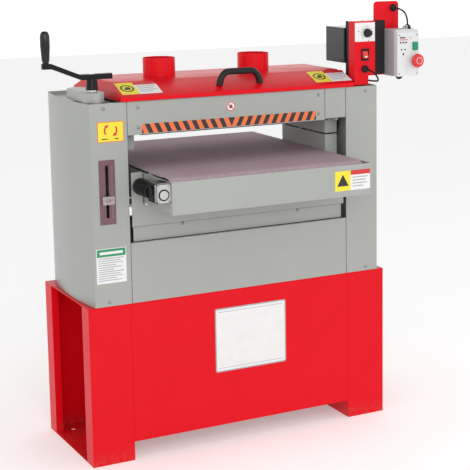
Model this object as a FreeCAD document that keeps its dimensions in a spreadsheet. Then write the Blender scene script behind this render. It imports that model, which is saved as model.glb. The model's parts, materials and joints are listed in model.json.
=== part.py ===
"""Double-drum sander: a sheet-steel stand, two hollow columns, a head with two sanding drums and
a power-fed conveyor table that a crank raises on two chain-linked screws.

X runs to the operator's right, Y to the back, Z up. The origin is on the floor, under the middle of
the stand. All sizes are in millimetres."""
import FreeCAD, Part
import math
import os
import re
import Sketcher
from FreeCAD import Placement, Rotation, Vector

SIZES = {
    # stand
    "stand_width": 1016, "stand_depth": 400, "stand_height": 490, "stand_sheet": 3, "leg_width": 133,
    "leg_lip": 58, "lip_return": 20, "kick_height": 58, "anchor_radius": 7,
    "anchor_x": "=stand_width / 2 - 58", "anchor_y": "=stand_depth / 2 - 50",
    # columns and panels
    "column_top": "=stand_height + 605", "column_inner": "=stand_width / 2 - 138",
    "column_corner": "=stand_width / 2 - 23", "column_bow": 20, "bow_ease": 5, "bow_lead": 25,
    "sheet": 2, "web_drop": 10, "seam": 1.5,
    "upper_panel_low": "=drum_low + 4", "upper_panel_right": "=stand_width / 2 - 215",
    "filler_low": "=drum_low + 8", "hem": 12, "lower_panel_top": "=stand_height + 183",
    "strip_low": "=lower_panel_top + 2", "strip_top": "=lower_panel_top + 46", "strip_setback": 10,
    "strip_half": "=frame_inner - 40",
    # side frames
    "frame_inner": "=stand_width / 2 - 112", "frame_plate": 12, "frame_half": "=stand_depth / 2 - 30",
    "frame_top": "=column_top - 5", "head_outer": "=frame_inner - 26", "head_inner": "=frame_inner - 70",
    "head_half": "=frame_half - 30", "head_low": "=drum_low - 48", "head_wall": 4,
    # drums and their drive
    "drum_radius": 65, "drum_wall": 8, "drum_half": "=frame_inner - 78.5",
    "drum_y": "=stand_depth / 2 - 115", "drum_low": "=stand_height + 502", "shaft_radius": 12.5,
    "bearing_radius": 24, "bearing_width": 28, "air": 0.3, "running_fit": 0.05,
    "drive_belt_near": "=frame_inner - 22", "drive_belt_width": 18, "drive_belt_thick": 6,
    "drum_pulley_radius": 38, "motor_pulley_radius": "=drum_pulley_radius * 1.2",
    "motor_z": "=stand_height + 110", "motor_radius": 75, "motor_left": 60,
    "motor_right": "=frame_inner - 56", "motor_shaft": 12, "motor_rail_y": 85,
    # pressure rollers
    "press_radius": 20, "press_y": "=drum_y + 81", "press_low": "=drum_low - 3", "press_axle": 8,
    "press_block": 32, "press_block_low": "=drum_low + 4", "press_block_top": "=drum_low + 38",
    "press_arm_low": "=drum_low + 68", "press_pin": 5, "press_pin_x": 21,
    "press_journal": 7,
    # lift
    "screw_x": "=frame_inner + 60", "screw_y": -30, "screw_radius": 12,
    "screw_bearing_z": "=column_top - 110", "bracket_half": 17, "sprocket_radius": 20, "chain_thick": 4,
    "lower_chain_z": "=stand_height + 9", "chain_height": 8, "crank_y": "=48 - stand_depth / 2",
    "upper_chain_z": "=column_top + 8", "nut_radius": 18, "nut_flange": 20,
    "lug_z": "=stand_height + 240", "lug_thick": 30, "lug_half": 25, "travel_up": 95, "travel_down": 46,
    "travel_air": 5,
    # lift frame
    "apron_skirt_low": "=lug_z - 9", "skirt_top": "=lug_z + 54", "skirt_half": "=frame_inner - 35",
    "skirt_sheet": 3, "skirt_y": "=stand_depth / 2 - 5.5", "ear_inner": "=frame_inner - 71",
    "ear_top": "=lug_z + 154", "guard_inner": "=frame_inner - 74", "guard_half": "=stand_depth / 2 - 52",
    "guard_top": "=lug_z + 211", "pad_thick": 6,
    # conveyor
    "table_top": "=stand_height + 400", "table_half": "=stand_depth / 2 + 205",
    "feed_belt_half": "=frame_inner - 78", "feed_belt_thick": 2.5, "roller_radius": 30,
    "roller_y": "=table_half - 40", "roller_axle": 10, "rail_inner": "=feed_belt_half + 1",
    "rail_sheet": 2.5, "rail_low": "=table_top - 100", "rail_top": "=table_top - 8",
    "bed_half": "=feed_belt_half + 7", "bed_thick": 3, "apron_low": "=table_top - 104",
    "apron_top": "=table_top - 7", "apron_left": "=feed_belt_half + 2",
    "apron_right": "=feed_belt_half + 22", "apron_sheet": 3, "apron_return": 30,
    "feed_motor_x": "=feed_belt_half + 29", "feed_motor_z": "=table_top - 42", "feed_motor_radius": 25,
    "feed_motor_back": "=table_half - 180", "feed_motor_front": "=table_half - 70", "gearbox_half": 18,
    # crank
    "crank_arm_z": "=column_top + 67", "crank_arm_thick": 16, "crank_arm_width": 24, "crank_reach": 136,
    "crank_rise": 36, "crank_stub": 62, "crank_shaft_radius": 9, "crank_hub_radius": 18,
    "grip_length": 92, "grip_radius": 14, "grip_pin": 5, "housing_height": 30,
    "housing_left": "=screw_x + 30", "housing_right": "=screw_x - 30",
    "housing_front": "=stand_depth / 2 - 10", "housing_back": 10, "housing_corner": 22,
    "slot_x": "=screw_x - 19", "slot_width": 10, "slot_low": "=stand_height + 267",
    "slot_top": "=slot_low + 156", "pointer_z": "=table_top - 80",
    # hood
    "hood_left": "=frame_inner - 8", "hood_right": "=frame_inner + 2",
    "hood_half": "=stand_depth / 2 + 6", "lip_low": "=column_top + 1", "lip_top": "=lip_low + 12",
    "hood_top": "=lip_low + 49", "hood_flat_half": "=hood_half - 94", "hood_hip": 10, "port_radius": 50,
    "port_rim": "=hood_top + 57", "port_spacing": 324, "port_offset": -20, "hinge_y": "=hood_half + 8",
    "hinge_z": "=lip_low - 4", "hinge_radius": 7, "hinge_pin": 3.5, "hinge_x": 190, "hinge_length": 60,
    "handle_x": 13, "handle_half": 69, "handle_radius": 10,
    # control stand
    "control_left": "=frame_inner + 12", "control_front": "=stand_depth / 2 - 10",
    "control_back": "=control_front - 33", "control_sheet": 3, "face_right": "=control_left + 77",
    "face_top": "=column_top + 205", "stem_right": "=control_left + 52", "stem_low": "=column_top + 2",
    "face_low": "=column_top + 31", "plate_right": "=control_left + 186",
    "tab_left": "=control_left + 92", "tab_top": "=face_top + 60", "plate_low": "=face_low - 3",
    "tab_round": 12, "post_right": "=control_left + 62", "post_depth": 20,
    "controller_left": "=control_left - 6", "controller_right": "=control_left + 92",
    "controller_back": 16, "controller_low": "=column_top + 70",
    "controller_top": "=controller_low + 113", "knob_x": "=control_left + 46", "knob_z": "=face_top - 37",
    "knob_radius": 14, "knob_stem": 4, "rocker_x": "=control_left + 39", "rocker_z": "=face_top - 106",
    "rocker_half_width": 14, "rocker_half_height": 19, "rocker_frame": 4, "gland_radius": 12,
    "gland_height": 14, "cable_radius": 2.8, "switch_left": "=control_left + 131",
    "switch_right": "=switch_left + 82", "switch_depth": 81, "switch_low": "=face_top - 178",
    "switch_top": "=face_top - 28", "switch_wall": 3, "switch_body_depth": 60,
    "start_x": "=switch_left + 67", "start_z": "=switch_top - 54", "start_half_width": 9,
    "start_half_height": 13, "start_proud": 6, "stop_z": "=switch_top - 100", "stop_radius": 22,
    "stop_stem": 8, "stop_proud": 25, "button_travel": 4, "screw_head_radius": 5,
    "screw_head_height": 2.5,
}

doc = FreeCAD.newDocument("DrumSander")
sheet = doc.addObject("Spreadsheet::Sheet", "size")
for row, alias in enumerate(SIZES, start=1):
    sheet.set(f"A{row}", alias)
    sheet.setAlias(f"B{row}", alias)
for row, content in enumerate(SIZES.values(), start=1):
    sheet.set(f"B{row}", str(content))
doc.recompute()

sub_parts = []


def size(alias):
    """A driving dimension's number, read from the sheet."""
    return float(sheet.get(alias))


def formula(text):
    """An expression with every driving dimension's name turned into a reference to the sheet."""
    return re.sub(r"[a-z][a-z0-9_]*", lambda m: "size." + m[0] if m[0] in SIZES else m[0], str(text))


def bind(thing, **formulas):
    for name, text in formulas.items():
        thing.setExpression(name, formula(text))


def place(thing, x=0, y=0, z=0, turn=None):
    """Puts a thing at bound coordinates, turned as given."""
    if turn:
        thing.Placement = Placement(Vector(), turn)
    for name, text in (("x", x), ("y", y), ("z", z)):
        thing.setExpression("Placement.Base." + name, formula(text))
    return thing


ALONG = {"X": Rotation(Vector(0, 1, 0), 90), "Y": Rotation(Vector(1, 0, 0), -90), "Z": Rotation()}


def block(x, y, z):
    """A box between three pairs of bound coordinates."""
    box = doc.addObject("Part::Box", "block")
    bind(box, Length=f"({x[1]}) - ({x[0]})", Width=f"({y[1]}) - ({y[0]})", Height=f"({z[1]}) - ({z[0]})")
    return place(box, x[0], y[0], z[0])


def rod(axis, radius, span, first, second):
    """A cylinder along an axis over a span; first and second are its other two coordinates in order."""
    cylinder = doc.addObject("Part::Cylinder", "rod")
    bind(cylinder, Radius=radius, Height=f"({span[1]}) - ({span[0]})")
    spot = {"X": (span[0], first, second), "Y": (first, span[0], second), "Z": (first, second, span[0])}
    return place(cylinder, *spot[axis], turn=ALONG[axis])


def combine(kind, shapes, name):
    result = doc.addObject(kind, name)
    if kind == "Part::Compound":
        result.Links = shapes
    else:
        result.Shapes = shapes
    return result


def join(*shapes):
    return combine("Part::MultiFuse", list(shapes), "joined")


def common(*shapes):
    return combine("Part::MultiCommon", list(shapes), "shared")


def group(*shapes):
    return combine("Part::Compound", list(shapes), "group")


def cut(base, *tools):
    result = doc.addObject("Part::Cut", "cut")
    result.Base = base
    result.Tool = tools[0] if len(tools) == 1 else join(*tools)
    return result


def keep(label, thing):
    """Registers a finished sub-part under the name of its file."""
    thing.Label = label
    sub_parts.append(thing)
    return thing


def sided(side, near, far):
    """The X span from near to far on one side of the machine."""
    return (near, far) if side > 0 else (f"-({far})", f"-({near})")


def outline(body, role, points):
    """A closed polygon on one of the body's own planes, each corner bound to the sheet."""
    sketch = body.newObject("Sketcher::SketchObject", "outline")
    plane = next(f for f in body.Origin.OriginFeatures if f.Role == role)
    sketch.AttachmentSupport = [(plane, "")]
    sketch.MapMode = "FlatFace"
    count = len(points)
    start = [Vector(math.cos(2 * math.pi * i / count), math.sin(2 * math.pi * i / count), 0) * 50
             for i in range(count)]
    for i in range(count):
        sketch.addGeometry(Part.LineSegment(start[i], start[(i + 1) % count]), False)
    for i in range(count):
        sketch.addConstraint(Sketcher.Constraint("Coincident", i, 2, (i + 1) % count, 1))
    for i, corner in enumerate(points):
        for kind, text, now in zip(("DistanceX", "DistanceY"), corner, start[i]):
            index = sketch.addConstraint(Sketcher.Constraint(kind, -1, 1, i, 1, now))
            sketch.setExpression(f"Constraints[{index}]", formula(text))
    return sketch


def plate_of(role, points, thick, x=0, y=0, z=0, turn=None, toward_back=False):
    """A body padded from a polygon, such as a bent or cut plate."""
    body = doc.addObject("PartDesign::Body", "plate")
    pad = body.newObject("PartDesign::Pad", "pad")
    pad.Profile = outline(body, role, points)
    bind(pad, Length=thick)
    pad.Reversed = toward_back
    return place(body, x, y, z, turn)


def turned(points, x=0, y=0, z=0, axis="Z"):
    """A body of revolution from (radius, height) corners."""
    body = doc.addObject("PartDesign::Body", "turned")
    sketch = outline(body, "XZ_Plane", points)
    revolution = body.newObject("PartDesign::Revolution", "revolution")
    revolution.Profile = sketch
    revolution.ReferenceAxis = (sketch, ["V_Axis"])
    revolution.Angle = 360
    return place(body, x, y, z, ALONG[axis])


def rounded(body, radius, chosen):
    """Rounds the chosen edges of a body."""
    doc.recompute()
    base = body.Tip
    names = [f"Edge{i}" for i, edge in enumerate(base.Shape.Edges, start=1) if chosen(edge)]
    fillet = body.newObject("PartDesign::Fillet", "rounded")
    fillet.Base = (base, names)
    bind(fillet, Radius=radius)
    body.Tip = fillet
    return body


def loop_wire(circles, grow, level):
    """The outline of a belt or chain round circles (x, y, radius) in anticlockwise order."""
    leave = []
    count = len(circles)
    for i, (ax, ay, ar) in enumerate(circles):
        bx, by, br = circles[(i + 1) % count]
        reach = math.hypot(bx - ax, by - ay)
        lean = math.asin((ar - br) / reach)
        leave.append(math.atan2(by - ay, bx - ax) - math.pi / 2 + lean)

    def spot(circle, angle):
        x, y, r = circle
        return Vector(x + (r + grow) * math.cos(angle), y + (r + grow) * math.sin(angle), level)

    edges = []
    for i, circle in enumerate(circles):
        before, after = leave[i - 1], leave[i]
        middle = before + ((after - before) % (2 * math.pi)) / 2
        edges.append(Part.Arc(*(spot(circle, a) for a in (before, middle, after))).toShape())
        following = circles[(i + 1) % count]
        edges.append(Part.LineSegment(spot(circle, after), spot(following, after)).toShape())
    return Part.Wire(edges)


def loop_belt(circles, thick, low, high, turn=None):
    """A flat closed band of a given thickness round pulleys, as a feature with its own shape."""
    outer, inner = (Part.Face(loop_wire(circles, grow, low)).extrude(Vector(0, 0, high - low))
                    for grow in (thick, 0))
    feature = doc.addObject("Part::Feature", "band")
    feature.Shape = outer.cut(inner)
    if turn:
        feature.Placement = Placement(Vector(), turn)
    return feature


def tube_along(points, radius):
    """A round bar or cable along straight runs joined by tangent arcs as large as the runs allow."""
    bends = []
    for before, here, after in zip(points, points[1:], points[2:]):
        back, ahead = before - here, after - here
        half_turn = (math.pi - back.getAngle(ahead)) / 2
        trim = 0.45 * min(back.Length, ahead.Length)
        bends.append((here, back.normalize(), ahead.normalize(), trim, trim / math.tan(half_turn)))
    edges, last = [], points[0]
    for here, back, ahead, trim, bend_radius in bends:
        first, second = here + back * trim, here + ahead * trim
        inward = (back + ahead).normalize()
        centre = here + inward * math.hypot(trim, bend_radius)
        edges.append(Part.LineSegment(last, first).toShape())
        edges.append(Part.Arc(first, centre - inward * bend_radius, second).toShape())
        last = second
    edges.append(Part.LineSegment(last, points[-1]).toShape())
    path = Part.Wire(edges)
    section = Part.Wire(Part.makeCircle(radius, points[0], points[1] - points[0]))
    print("tube", round(path.Length, 1), "bend radii", [round(bend[4], 1) for bend in bends])
    feature = doc.addObject("Part::Feature", "tube")
    feature.Shape = path.makePipeShell([section], True, False)
    return feature


# ------------------------------------------------------------------------------------------ stand
def stand():
    sides = "stand_depth / 2"
    for side, name in ((-1, "stand_left_leg"), (1, "stand_right_leg")):
        near, far = "stand_width / 2 - leg_width", "stand_width / 2"
        top = "stand_height - stand_sheet"
        bay = f"{sides} - leg_lip"
        shell = block(sided(side, near, far), (f"-{sides}", sides), (0, top))
        room = block(sided(side, f"{near} + stand_sheet", f"{far} - stand_sheet"),
                     (f"stand_sheet - {sides}", f"{sides} - stand_sheet"), ("stand_sheet", "stand_height"))
        doorway = block(sided(side, f"{far} - 2 * stand_sheet", f"{far} + stand_sheet"),
                        (f"-({bay})", bay), ("stand_sheet", "stand_height"))
        holes = [rod("Z", "anchor_radius", ("-stand_sheet", "2 * stand_sheet"),
                     f"{side} * anchor_x", f"{end} * anchor_y") for end in (-1, 1)]
        returns = [block(sided(side, f"{far} - stand_sheet - lip_return", f"{far} - stand_sheet"),
                         (f"{end} * ({bay}) + {0 if end > 0 else '-stand_sheet'}",
                          f"{end} * ({bay}) + {'stand_sheet' if end > 0 else 0}"), ("stand_sheet", top))
                   for end in (-1, 1)]
        keep(name, join(cut(shell, room, doorway, *holes), *returns))

    half = "stand_width / 2 - leg_width - air"
    aprons = []
    for end in (-1, 1):
        outer = (f"-{sides}", f"stand_sheet - {sides}") if end < 0 else (f"{sides} - stand_sheet", sides)
        flange = ((f"stand_sheet - {sides}", f"lip_return - {sides}") if end < 0
                  else (f"{sides} - lip_return", f"{sides} - stand_sheet"))
        face = block((f"-({half})", half), outer, ("kick_height", "stand_height - stand_sheet"))
        foot = block((f"-({half})", half), flange, ("kick_height", "kick_height + stand_sheet"))
        aprons.append(join(face, foot))
    keep("stand_aprons", group(*aprons))

    plate = block(("-stand_width / 2", "stand_width / 2"), (f"-{sides}", sides),
                  ("stand_height - stand_sheet", "stand_height"))
    rest = "motor_z - motor_radius"
    rails = [block(("motor_left + 20", "motor_right - 20"),
                   (f"{end} * motor_rail_y - 10", f"{end} * motor_rail_y + 10"),
                   ("stand_height", f"{rest} - 6")) for end in (-1, 1)]
    bridge = block(("motor_left + 20", "motor_right - 20"), ("-motor_rail_y - 10", "motor_rail_y + 10"),
                   (f"{rest} - 6", rest))
    keep("stand_top_plate", join(plate, *rails, bridge))


# ---------------------------------------------------------------------------------------- columns
def d_prism(side, inset, near, low, high):
    """The bowed column's plan, drawn in by an inset, between two heights."""
    bow_radius = "(stand_depth * stand_depth / 4 + column_bow * column_bow) / (2 * column_bow)"
    half = f"(stand_depth / 2 - {inset})"
    box = block(sided(side, near, "column_corner + column_bow + 5"), (f"-{half}", half), (low, high))
    barrel = rod("Z", f"{bow_radius} - {inset}", (low, high),
                 f"{side} * (column_corner + column_bow - bow_ease - {bow_radius})", "-bow_lead")
    return common(box, barrel)


def columns():
    for side, name in ((-1, "left_column_cover"), (1, "right_column_cover")):
        shell = cut(d_prism(side, 0, "column_inner", "stand_height", "column_top"),
                    d_prism(side, "sheet", "column_inner - 1", "stand_height - 1", "column_top + 1"))
        web = d_prism(side, "sheet / 2", "frame_inner + frame_plate + 1",
                      "column_top - web_drop - sheet", "column_top - web_drop")
        cover = join(shell, web)
        if side < 0:
            through = ("column_top - 2 * web_drop", "column_top + 1")
            slot = block(("-slot_x - slot_width / 2", "-slot_x + slot_width / 2"),
                         ("-stand_depth / 2 - 1", "-stand_depth / 2 + 2 * sheet"), ("slot_low", "slot_top"))
            cover = cut(cover, slot, rod("Z", "screw_radius + 2", through, "-screw_x", "screw_y"),
                        rod("Z", "crank_shaft_radius + running_fit", through, "-screw_x", "crank_y"))
        keep(name, cover)


def hemmed_panel(left, right, low, high, end, hems):
    """A flat panel flush with the front or back, with hems turned inward along its edges."""
    def depth(start, stop):
        near, far = f"stand_depth / 2 - {start}", f"stand_depth / 2 - {stop}"
        return (far, near) if end > 0 else (f"-({near})", f"-({far})")
    face = block((left, right), depth(0, "sheet"), (low, high))
    folds = [block((left, right), depth("sheet", "hem"),
                   (low, f"{low} + sheet") if hem == "low" else (f"{high} - sheet", high)) for hem in hems]
    return join(face, *folds)


def panels():
    wide = "column_inner - seam"
    keep("front_upper_panel", hemmed_panel(f"-({wide})", "upper_panel_right", "upper_panel_low",
                                           "column_top", -1, ("low", "high")))
    keep("front_filler_panel", hemmed_panel("upper_panel_right + seam", wide, "filler_low",
                                            "column_top", -1, ("low", "high")))
    keep("front_mid_strip", join(
        block(("-strip_half", "strip_half"),
              ("-stand_depth / 2 + strip_setback", "-stand_depth / 2 + strip_setback + sheet"),
              ("strip_low", "strip_top")),
        block(("-strip_half", "strip_half"),
              ("-stand_depth / 2 + strip_setback + sheet", "-stand_depth / 2 + strip_setback + hem"),
              ("strip_top - sheet", "strip_top"))))
    keep("front_lower_panel", hemmed_panel(f"-({wide})", wide, "stand_height", "lower_panel_top", -1,
                                           ("high",)))
    keep("rear_panels", group(
        hemmed_panel(f"-({wide})", wide, "upper_panel_low", "column_top", 1, ("low", "high")),
        hemmed_panel(f"-({wide})", wide, "stand_height", "lower_panel_top", 1, ("high",))))


# ------------------------------------------------------------------------------------ side frames
def side_frames():
    drum_z = "(drum_low + drum_radius)"
    outer = "frame_inner + frame_plate"
    for side, name in ((-1, "left_side_frame"), (1, "right_side_frame")):
        plate = block(sided(side, "frame_inner", outer), ("-frame_half", "frame_half"),
                      ("stand_height", "frame_top"))
        head = block(sided(side, "head_inner", "head_outer"), ("-head_half", "head_half"),
                     ("head_low", "frame_top"))
        hollow = block(sided(side, "head_inner + head_wall", "head_outer + 1"),
                       ("head_wall - head_half", "head_half - head_wall"),
                       ("head_low - 1", "frame_top - head_wall"))
        bracket = block(sided(side, outer, "screw_x + bracket_half"),
                        ("screw_y - bracket_half", "screw_y + bracket_half"),
                        ("screw_bearing_z", "screw_bearing_z + 12"))
        arms = []
        for end in (-1, 1):
            def across(near, far):
                return (near, far) if end > 0 else (f"-({far})", f"-({near})")
            arms.append(block(sided(side, "head_inner", "head_inner + press_block"),
                              across("head_half - head_wall", "press_y + press_block / 2"),
                              ("press_arm_low", "frame_top")))
            arms.append(block(sided(side, "head_inner + 20", "frame_inner + 1"),
                              across("head_half + 10", "frame_half"), ("press_arm_low", "frame_top")))
            pin = (f"{side} * (head_inner + press_pin_x)", f"{end} * (press_y + press_block / 4)")
            arms.append(rod("Z", "press_pin", ("press_block_low - 2", "press_arm_low"), *pin))
            arms.append(rod("Z", "press_pin + 3", ("press_block_low - 6", "press_block_low - air"), *pin))
        lug_slot = block(sided(side, "frame_inner - 1", f"{outer} + 1"),
                         ("screw_y - lug_half - travel_air", "screw_y + lug_half + travel_air"),
                         ("lug_z - travel_down - travel_air",
                          "lug_z + lug_thick + 8 + travel_up + travel_air"))
        chain_notch = block(sided(side, "frame_inner - 1", f"{outer} + 1"),
                            ("screw_y - 32", "screw_y + 32"), ("stand_height - 1", "lower_chain_z + 14"))
        cuts = [lug_slot, chain_notch,
                rod("Z", "screw_radius + running_fit", ("screw_bearing_z - 1", "screw_bearing_z + 13"),
                    f"{side} * screw_x", "screw_y")]
        for end in (-1, 1):
            cuts.append(rod("X", "bearing_radius", sided(side, "frame_inner - 1", f"{outer} + 1"),
                            f"{end} * drum_y", drum_z))
            cuts.append(rod("X", "shaft_radius + 3", sided(side, "head_inner - 1", "head_outer + 1"),
                            f"{end} * drum_y", drum_z))
        keep(name, cut(join(plate, cut(head, hollow), bracket, *arms), *cuts))

    bearings = []
    for side in (-1, 1):
        for end in (-1, 1):
            span = sided(side, "frame_inner", "frame_inner + bearing_width")
            housing = rod("X", "bearing_radius - air / 10", span, f"{end} * drum_y", drum_z)
            bore = rod("X", "shaft_radius + running_fit", span, f"{end} * drum_y", drum_z)
            bearings.append(cut(housing, bore))
    keep("drum_bearings", group(*bearings))


# ---------------------------------------------------------------------------------- drums and drive
def flat_pulley(radius, width, bore):
    """Half section of a flat-rimmed pulley."""
    return [(bore, 0), (f"{radius} - 0.1", 0), (f"{radius} - 0.1", width), (bore, width)]


def drums():
    drum_z = "drum_low + drum_radius"
    for end, name in ((-1, "front_drum"), (1, "rear_drum")):
        y = f"{end} * drum_y"
        tube = cut(rod("X", "drum_radius", ("-drum_half", "drum_half"), y, drum_z),
                   rod("X", "drum_radius - drum_wall", ("-drum_half + 12", "drum_half - 12"), y, drum_z))
        end_x = "frame_inner + bearing_width"
        shaft = rod("X", "shaft_radius", (f"-{end_x}", end_x), y, drum_z)
        pulley = turned(flat_pulley("drum_pulley_radius", "drive_belt_width", "shaft_radius"),
                        "drive_belt_near", y, drum_z, "X")
        keep(name, group(join(tube, shaft), pulley))

    centre = "motor_z"
    body = rod("X", "motor_radius - 6", ("motor_left", "motor_right"), 0, centre)
    ribs = [rod("X", "motor_radius", (f"motor_left + {start}", f"motor_left + {start} + 5"), 0, centre)
            for start in range(70, 240, 14)]
    cowl = rod("X", "motor_radius", ("motor_left", "motor_left + 55"), 0, centre)
    flange = rod("X", "motor_radius", ("motor_right - 14", "motor_right"), 0, centre)
    terminal_box = block(("motor_left + 100", "motor_left + 190"), ("motor_radius - 20", "motor_radius + 35"),
                         (f"{centre} - 40", f"{centre} + 40"))
    foot = block(("motor_left + 80", "motor_right - 40"), (-55, 55),
                 (f"{centre} - motor_radius", f"{centre} - motor_radius + 30"))
    nose = rod("X", "motor_shaft + running_fit", ("motor_right - 40", "motor_right + 1"), 0, centre)
    keep("main_motor", cut(join(body, *ribs, cowl, flange, terminal_box, foot), nose))
    shaft = rod("X", "motor_shaft", ("motor_right - 38", "drive_belt_near + drive_belt_width + 2"), 0, centre)
    pulley = turned(flat_pulley("motor_pulley_radius", "drive_belt_width", "motor_shaft"),
                    "drive_belt_near", 0, centre, "X")
    keep("motor_pulley", group(shaft, pulley))

    height = size("drum_low") + size("drum_radius")
    circles = [(0, size("motor_z"), size("motor_pulley_radius")),
               (size("drum_y"), height, size("drum_pulley_radius")),
               (-size("drum_y"), height, size("drum_pulley_radius"))]
    near = size("drive_belt_near")
    upright = Rotation(Vector(1, 1, 1), 120)
    keep("drive_belt", loop_belt(circles, size("drive_belt_thick"), near,
                                 near + size("drive_belt_width"), upright))


def pressure_rollers():
    roller_z = "press_low + press_radius"
    inner = "head_inner"
    for end, name in ((-1, "front"), (1, "rear")):
        y = f"{end} * press_y"
        keep(f"{name}_pressure_roller", join(
            rod("X", "press_radius", ("-feed_belt_half + 1", "feed_belt_half - 1"), y, roller_z),
            rod("X", "press_axle", (f"-({inner} + press_journal)", f"{inner} + press_journal"), y,
                roller_z)))
        blocks, springs = [], []
        for side in (-1, 1):
            low, high = "press_y - press_block / 2", "press_y + press_block / 2"
            pin_x = f"{side} * ({inner} + press_pin_x)"
            pin_y = f"{end} * (press_y + press_block / 4)"
            body = block(sided(side, inner, f"{inner} + press_block"),
                         (low, high) if end > 0 else (f"-({high})", f"-({low})"),
                         ("press_block_low", "press_block_top"))
            bearing = rod("X", "press_axle + running_fit",
                          sided(side, f"{inner} - 1", f"{inner} + press_journal + 1"), y, roller_z)
            guide = rod("Z", "press_pin + running_fit", ("press_block_low - 1", "press_block_top + 1"),
                        pin_x, pin_y)
            blocks.append(cut(body, bearing, guide))
            length = ("press_block_top", "press_arm_low")
            springs.append(cut(rod("Z", "press_pin + 3", length, pin_x, pin_y),
                               rod("Z", "press_pin + 0.6", length, pin_x, pin_y)))
        keep(f"{name}_pressure_blocks", group(*blocks))
        keep(f"{name}_pressure_springs", group(*springs))


# ------------------------------------------------------------------------------------------- lift
def lift_gear():
    for side, name, top in ((-1, "left_lift_screw", "upper_chain_z + chain_height + 2"),
                            (1, "right_lift_screw", "screw_bearing_z + 16")):
        x = f"{side} * screw_x"
        discs = [cut(rod("Z", "sprocket_radius - 0.1", (low, f"{low} + chain_height"), x, "screw_y"),
                     rod("Z", "screw_radius", (low, f"{low} + chain_height"), x, "screw_y"))
                 for low in (("lower_chain_z", "upper_chain_z") if side < 0 else ("lower_chain_z",))]
        keep(name, group(rod("Z", "screw_radius", ("stand_height + 1", top), x, "screw_y"), *discs))
    keep("screw_bearings", group(*(cut(
        rod("Z", "screw_radius + 11", ("stand_height", "lower_chain_z - 1"), f"{side} * screw_x", "screw_y"),
        rod("Z", "screw_radius + running_fit", ("stand_height", "lower_chain_z"), f"{side} * screw_x",
            "screw_y")) for side in (-1, 1))))

    x, y, radius = size("screw_x"), size("screw_y"), size("sprocket_radius")
    low, high = size("lower_chain_z"), size("upper_chain_z")
    thick, tall = size("chain_thick"), size("chain_height")
    lower = loop_belt([(-x, y, radius), (x, y, radius)], thick, low + 1, low + tall - 1)
    upper = loop_belt([(-x, size("crank_y"), radius), (-x, y, radius)], thick, high + 1, high + tall - 1)
    keep("lift_chains", group(lower, upper))

    nuts = []
    for side in (-1, 1):
        nut_x = f"{side} * screw_x"
        barrel = rod("Z", "nut_radius - 2", ("lug_z - 8", "lug_z + lug_thick"), nut_x, "screw_y")
        flange = rod("Z", "nut_flange", ("lug_z + lug_thick", "lug_z + lug_thick + 8"), nut_x, "screw_y")
        bore = rod("Z", "screw_radius + running_fit", ("lug_z - 9", "lug_z + lug_thick + 9"), nut_x,
                   "screw_y")
        nuts.append(cut(join(barrel, flange), bore))
    keep("lift_nuts", group(*nuts))

    skirt = "skirt_y + skirt_sheet"
    pieces = []
    for end in (-1, 1):
        depth = ("skirt_y", skirt) if end > 0 else (f"-({skirt})", "-skirt_y")
        pieces.append(block(("-skirt_half", "skirt_half"), depth, ("apron_skirt_low", "skirt_top")))
        pieces.append(block(("-skirt_half", "-ear_inner"), depth, ("skirt_top", "ear_top")))
        pieces.append(block(("ear_inner", "skirt_half"), depth, ("skirt_top", "rail_top - 60")))
    side_out = "head_outer - 4"
    lug_y = ("screw_y - lug_half", "screw_y + lug_half")
    for side in (-1, 1):
        pieces.append(block(sided(side, "rail_inner - 2", side_out), ("-skirt_y", "skirt_y"),
                            ("skirt_top - pad_thick / 2", "skirt_top + pad_thick")))
        pieces.append(block(sided(side, f"{side_out} - 4", side_out), ("-frame_half", "frame_half"),
                            ("apron_skirt_low", "skirt_top")))
        pieces.append(block(sided(side, f"{side_out} - 40", side_out), lug_y, ("lug_z", "skirt_top")))
        pieces.append(cut(block(sided(side, f"{side_out} - 2", "screw_x + nut_flange - 2"), lug_y,
                                ("lug_z", "lug_z + lug_thick")),
                          rod("Z", "nut_radius - 2", ("lug_z - 1", "lug_z + lug_thick + 1"),
                              f"{side} * screw_x", "screw_y")))
    guard_low = "skirt_top + pad_thick"
    for y in (("-guard_half", "skirt_sheet - guard_half"), ("guard_half - skirt_sheet", "guard_half")):
        pieces.append(block(("guard_inner", side_out), y, (guard_low, "guard_top")))
    pieces.append(block(("guard_inner", "guard_inner + 2"), ("-guard_half", "guard_half"),
                        (guard_low, "guard_top")))
    keep("lift_frame", join(*pieces))

    arm = "slot_x"
    keep("height_pointer", join(
        block((f"-{arm} - 3", f"-{arm} + 3"), ("-stand_depth / 2 - 6", "-frame_half - 2"),
              ("pointer_z - 3", "pointer_z + 3")),
        block((f"-{arm} - 9", f"-{arm} + 9"), ("-stand_depth / 2 - 8", "-stand_depth / 2 - 4"),
              ("pointer_z - 5", "pointer_z + 5")),
        block((f"-{arm} - 3", "-skirt_half + 20"), ("-skirt_y", "-frame_half - 2"),
              ("pointer_z - 3", "pointer_z + 3"))))


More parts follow.
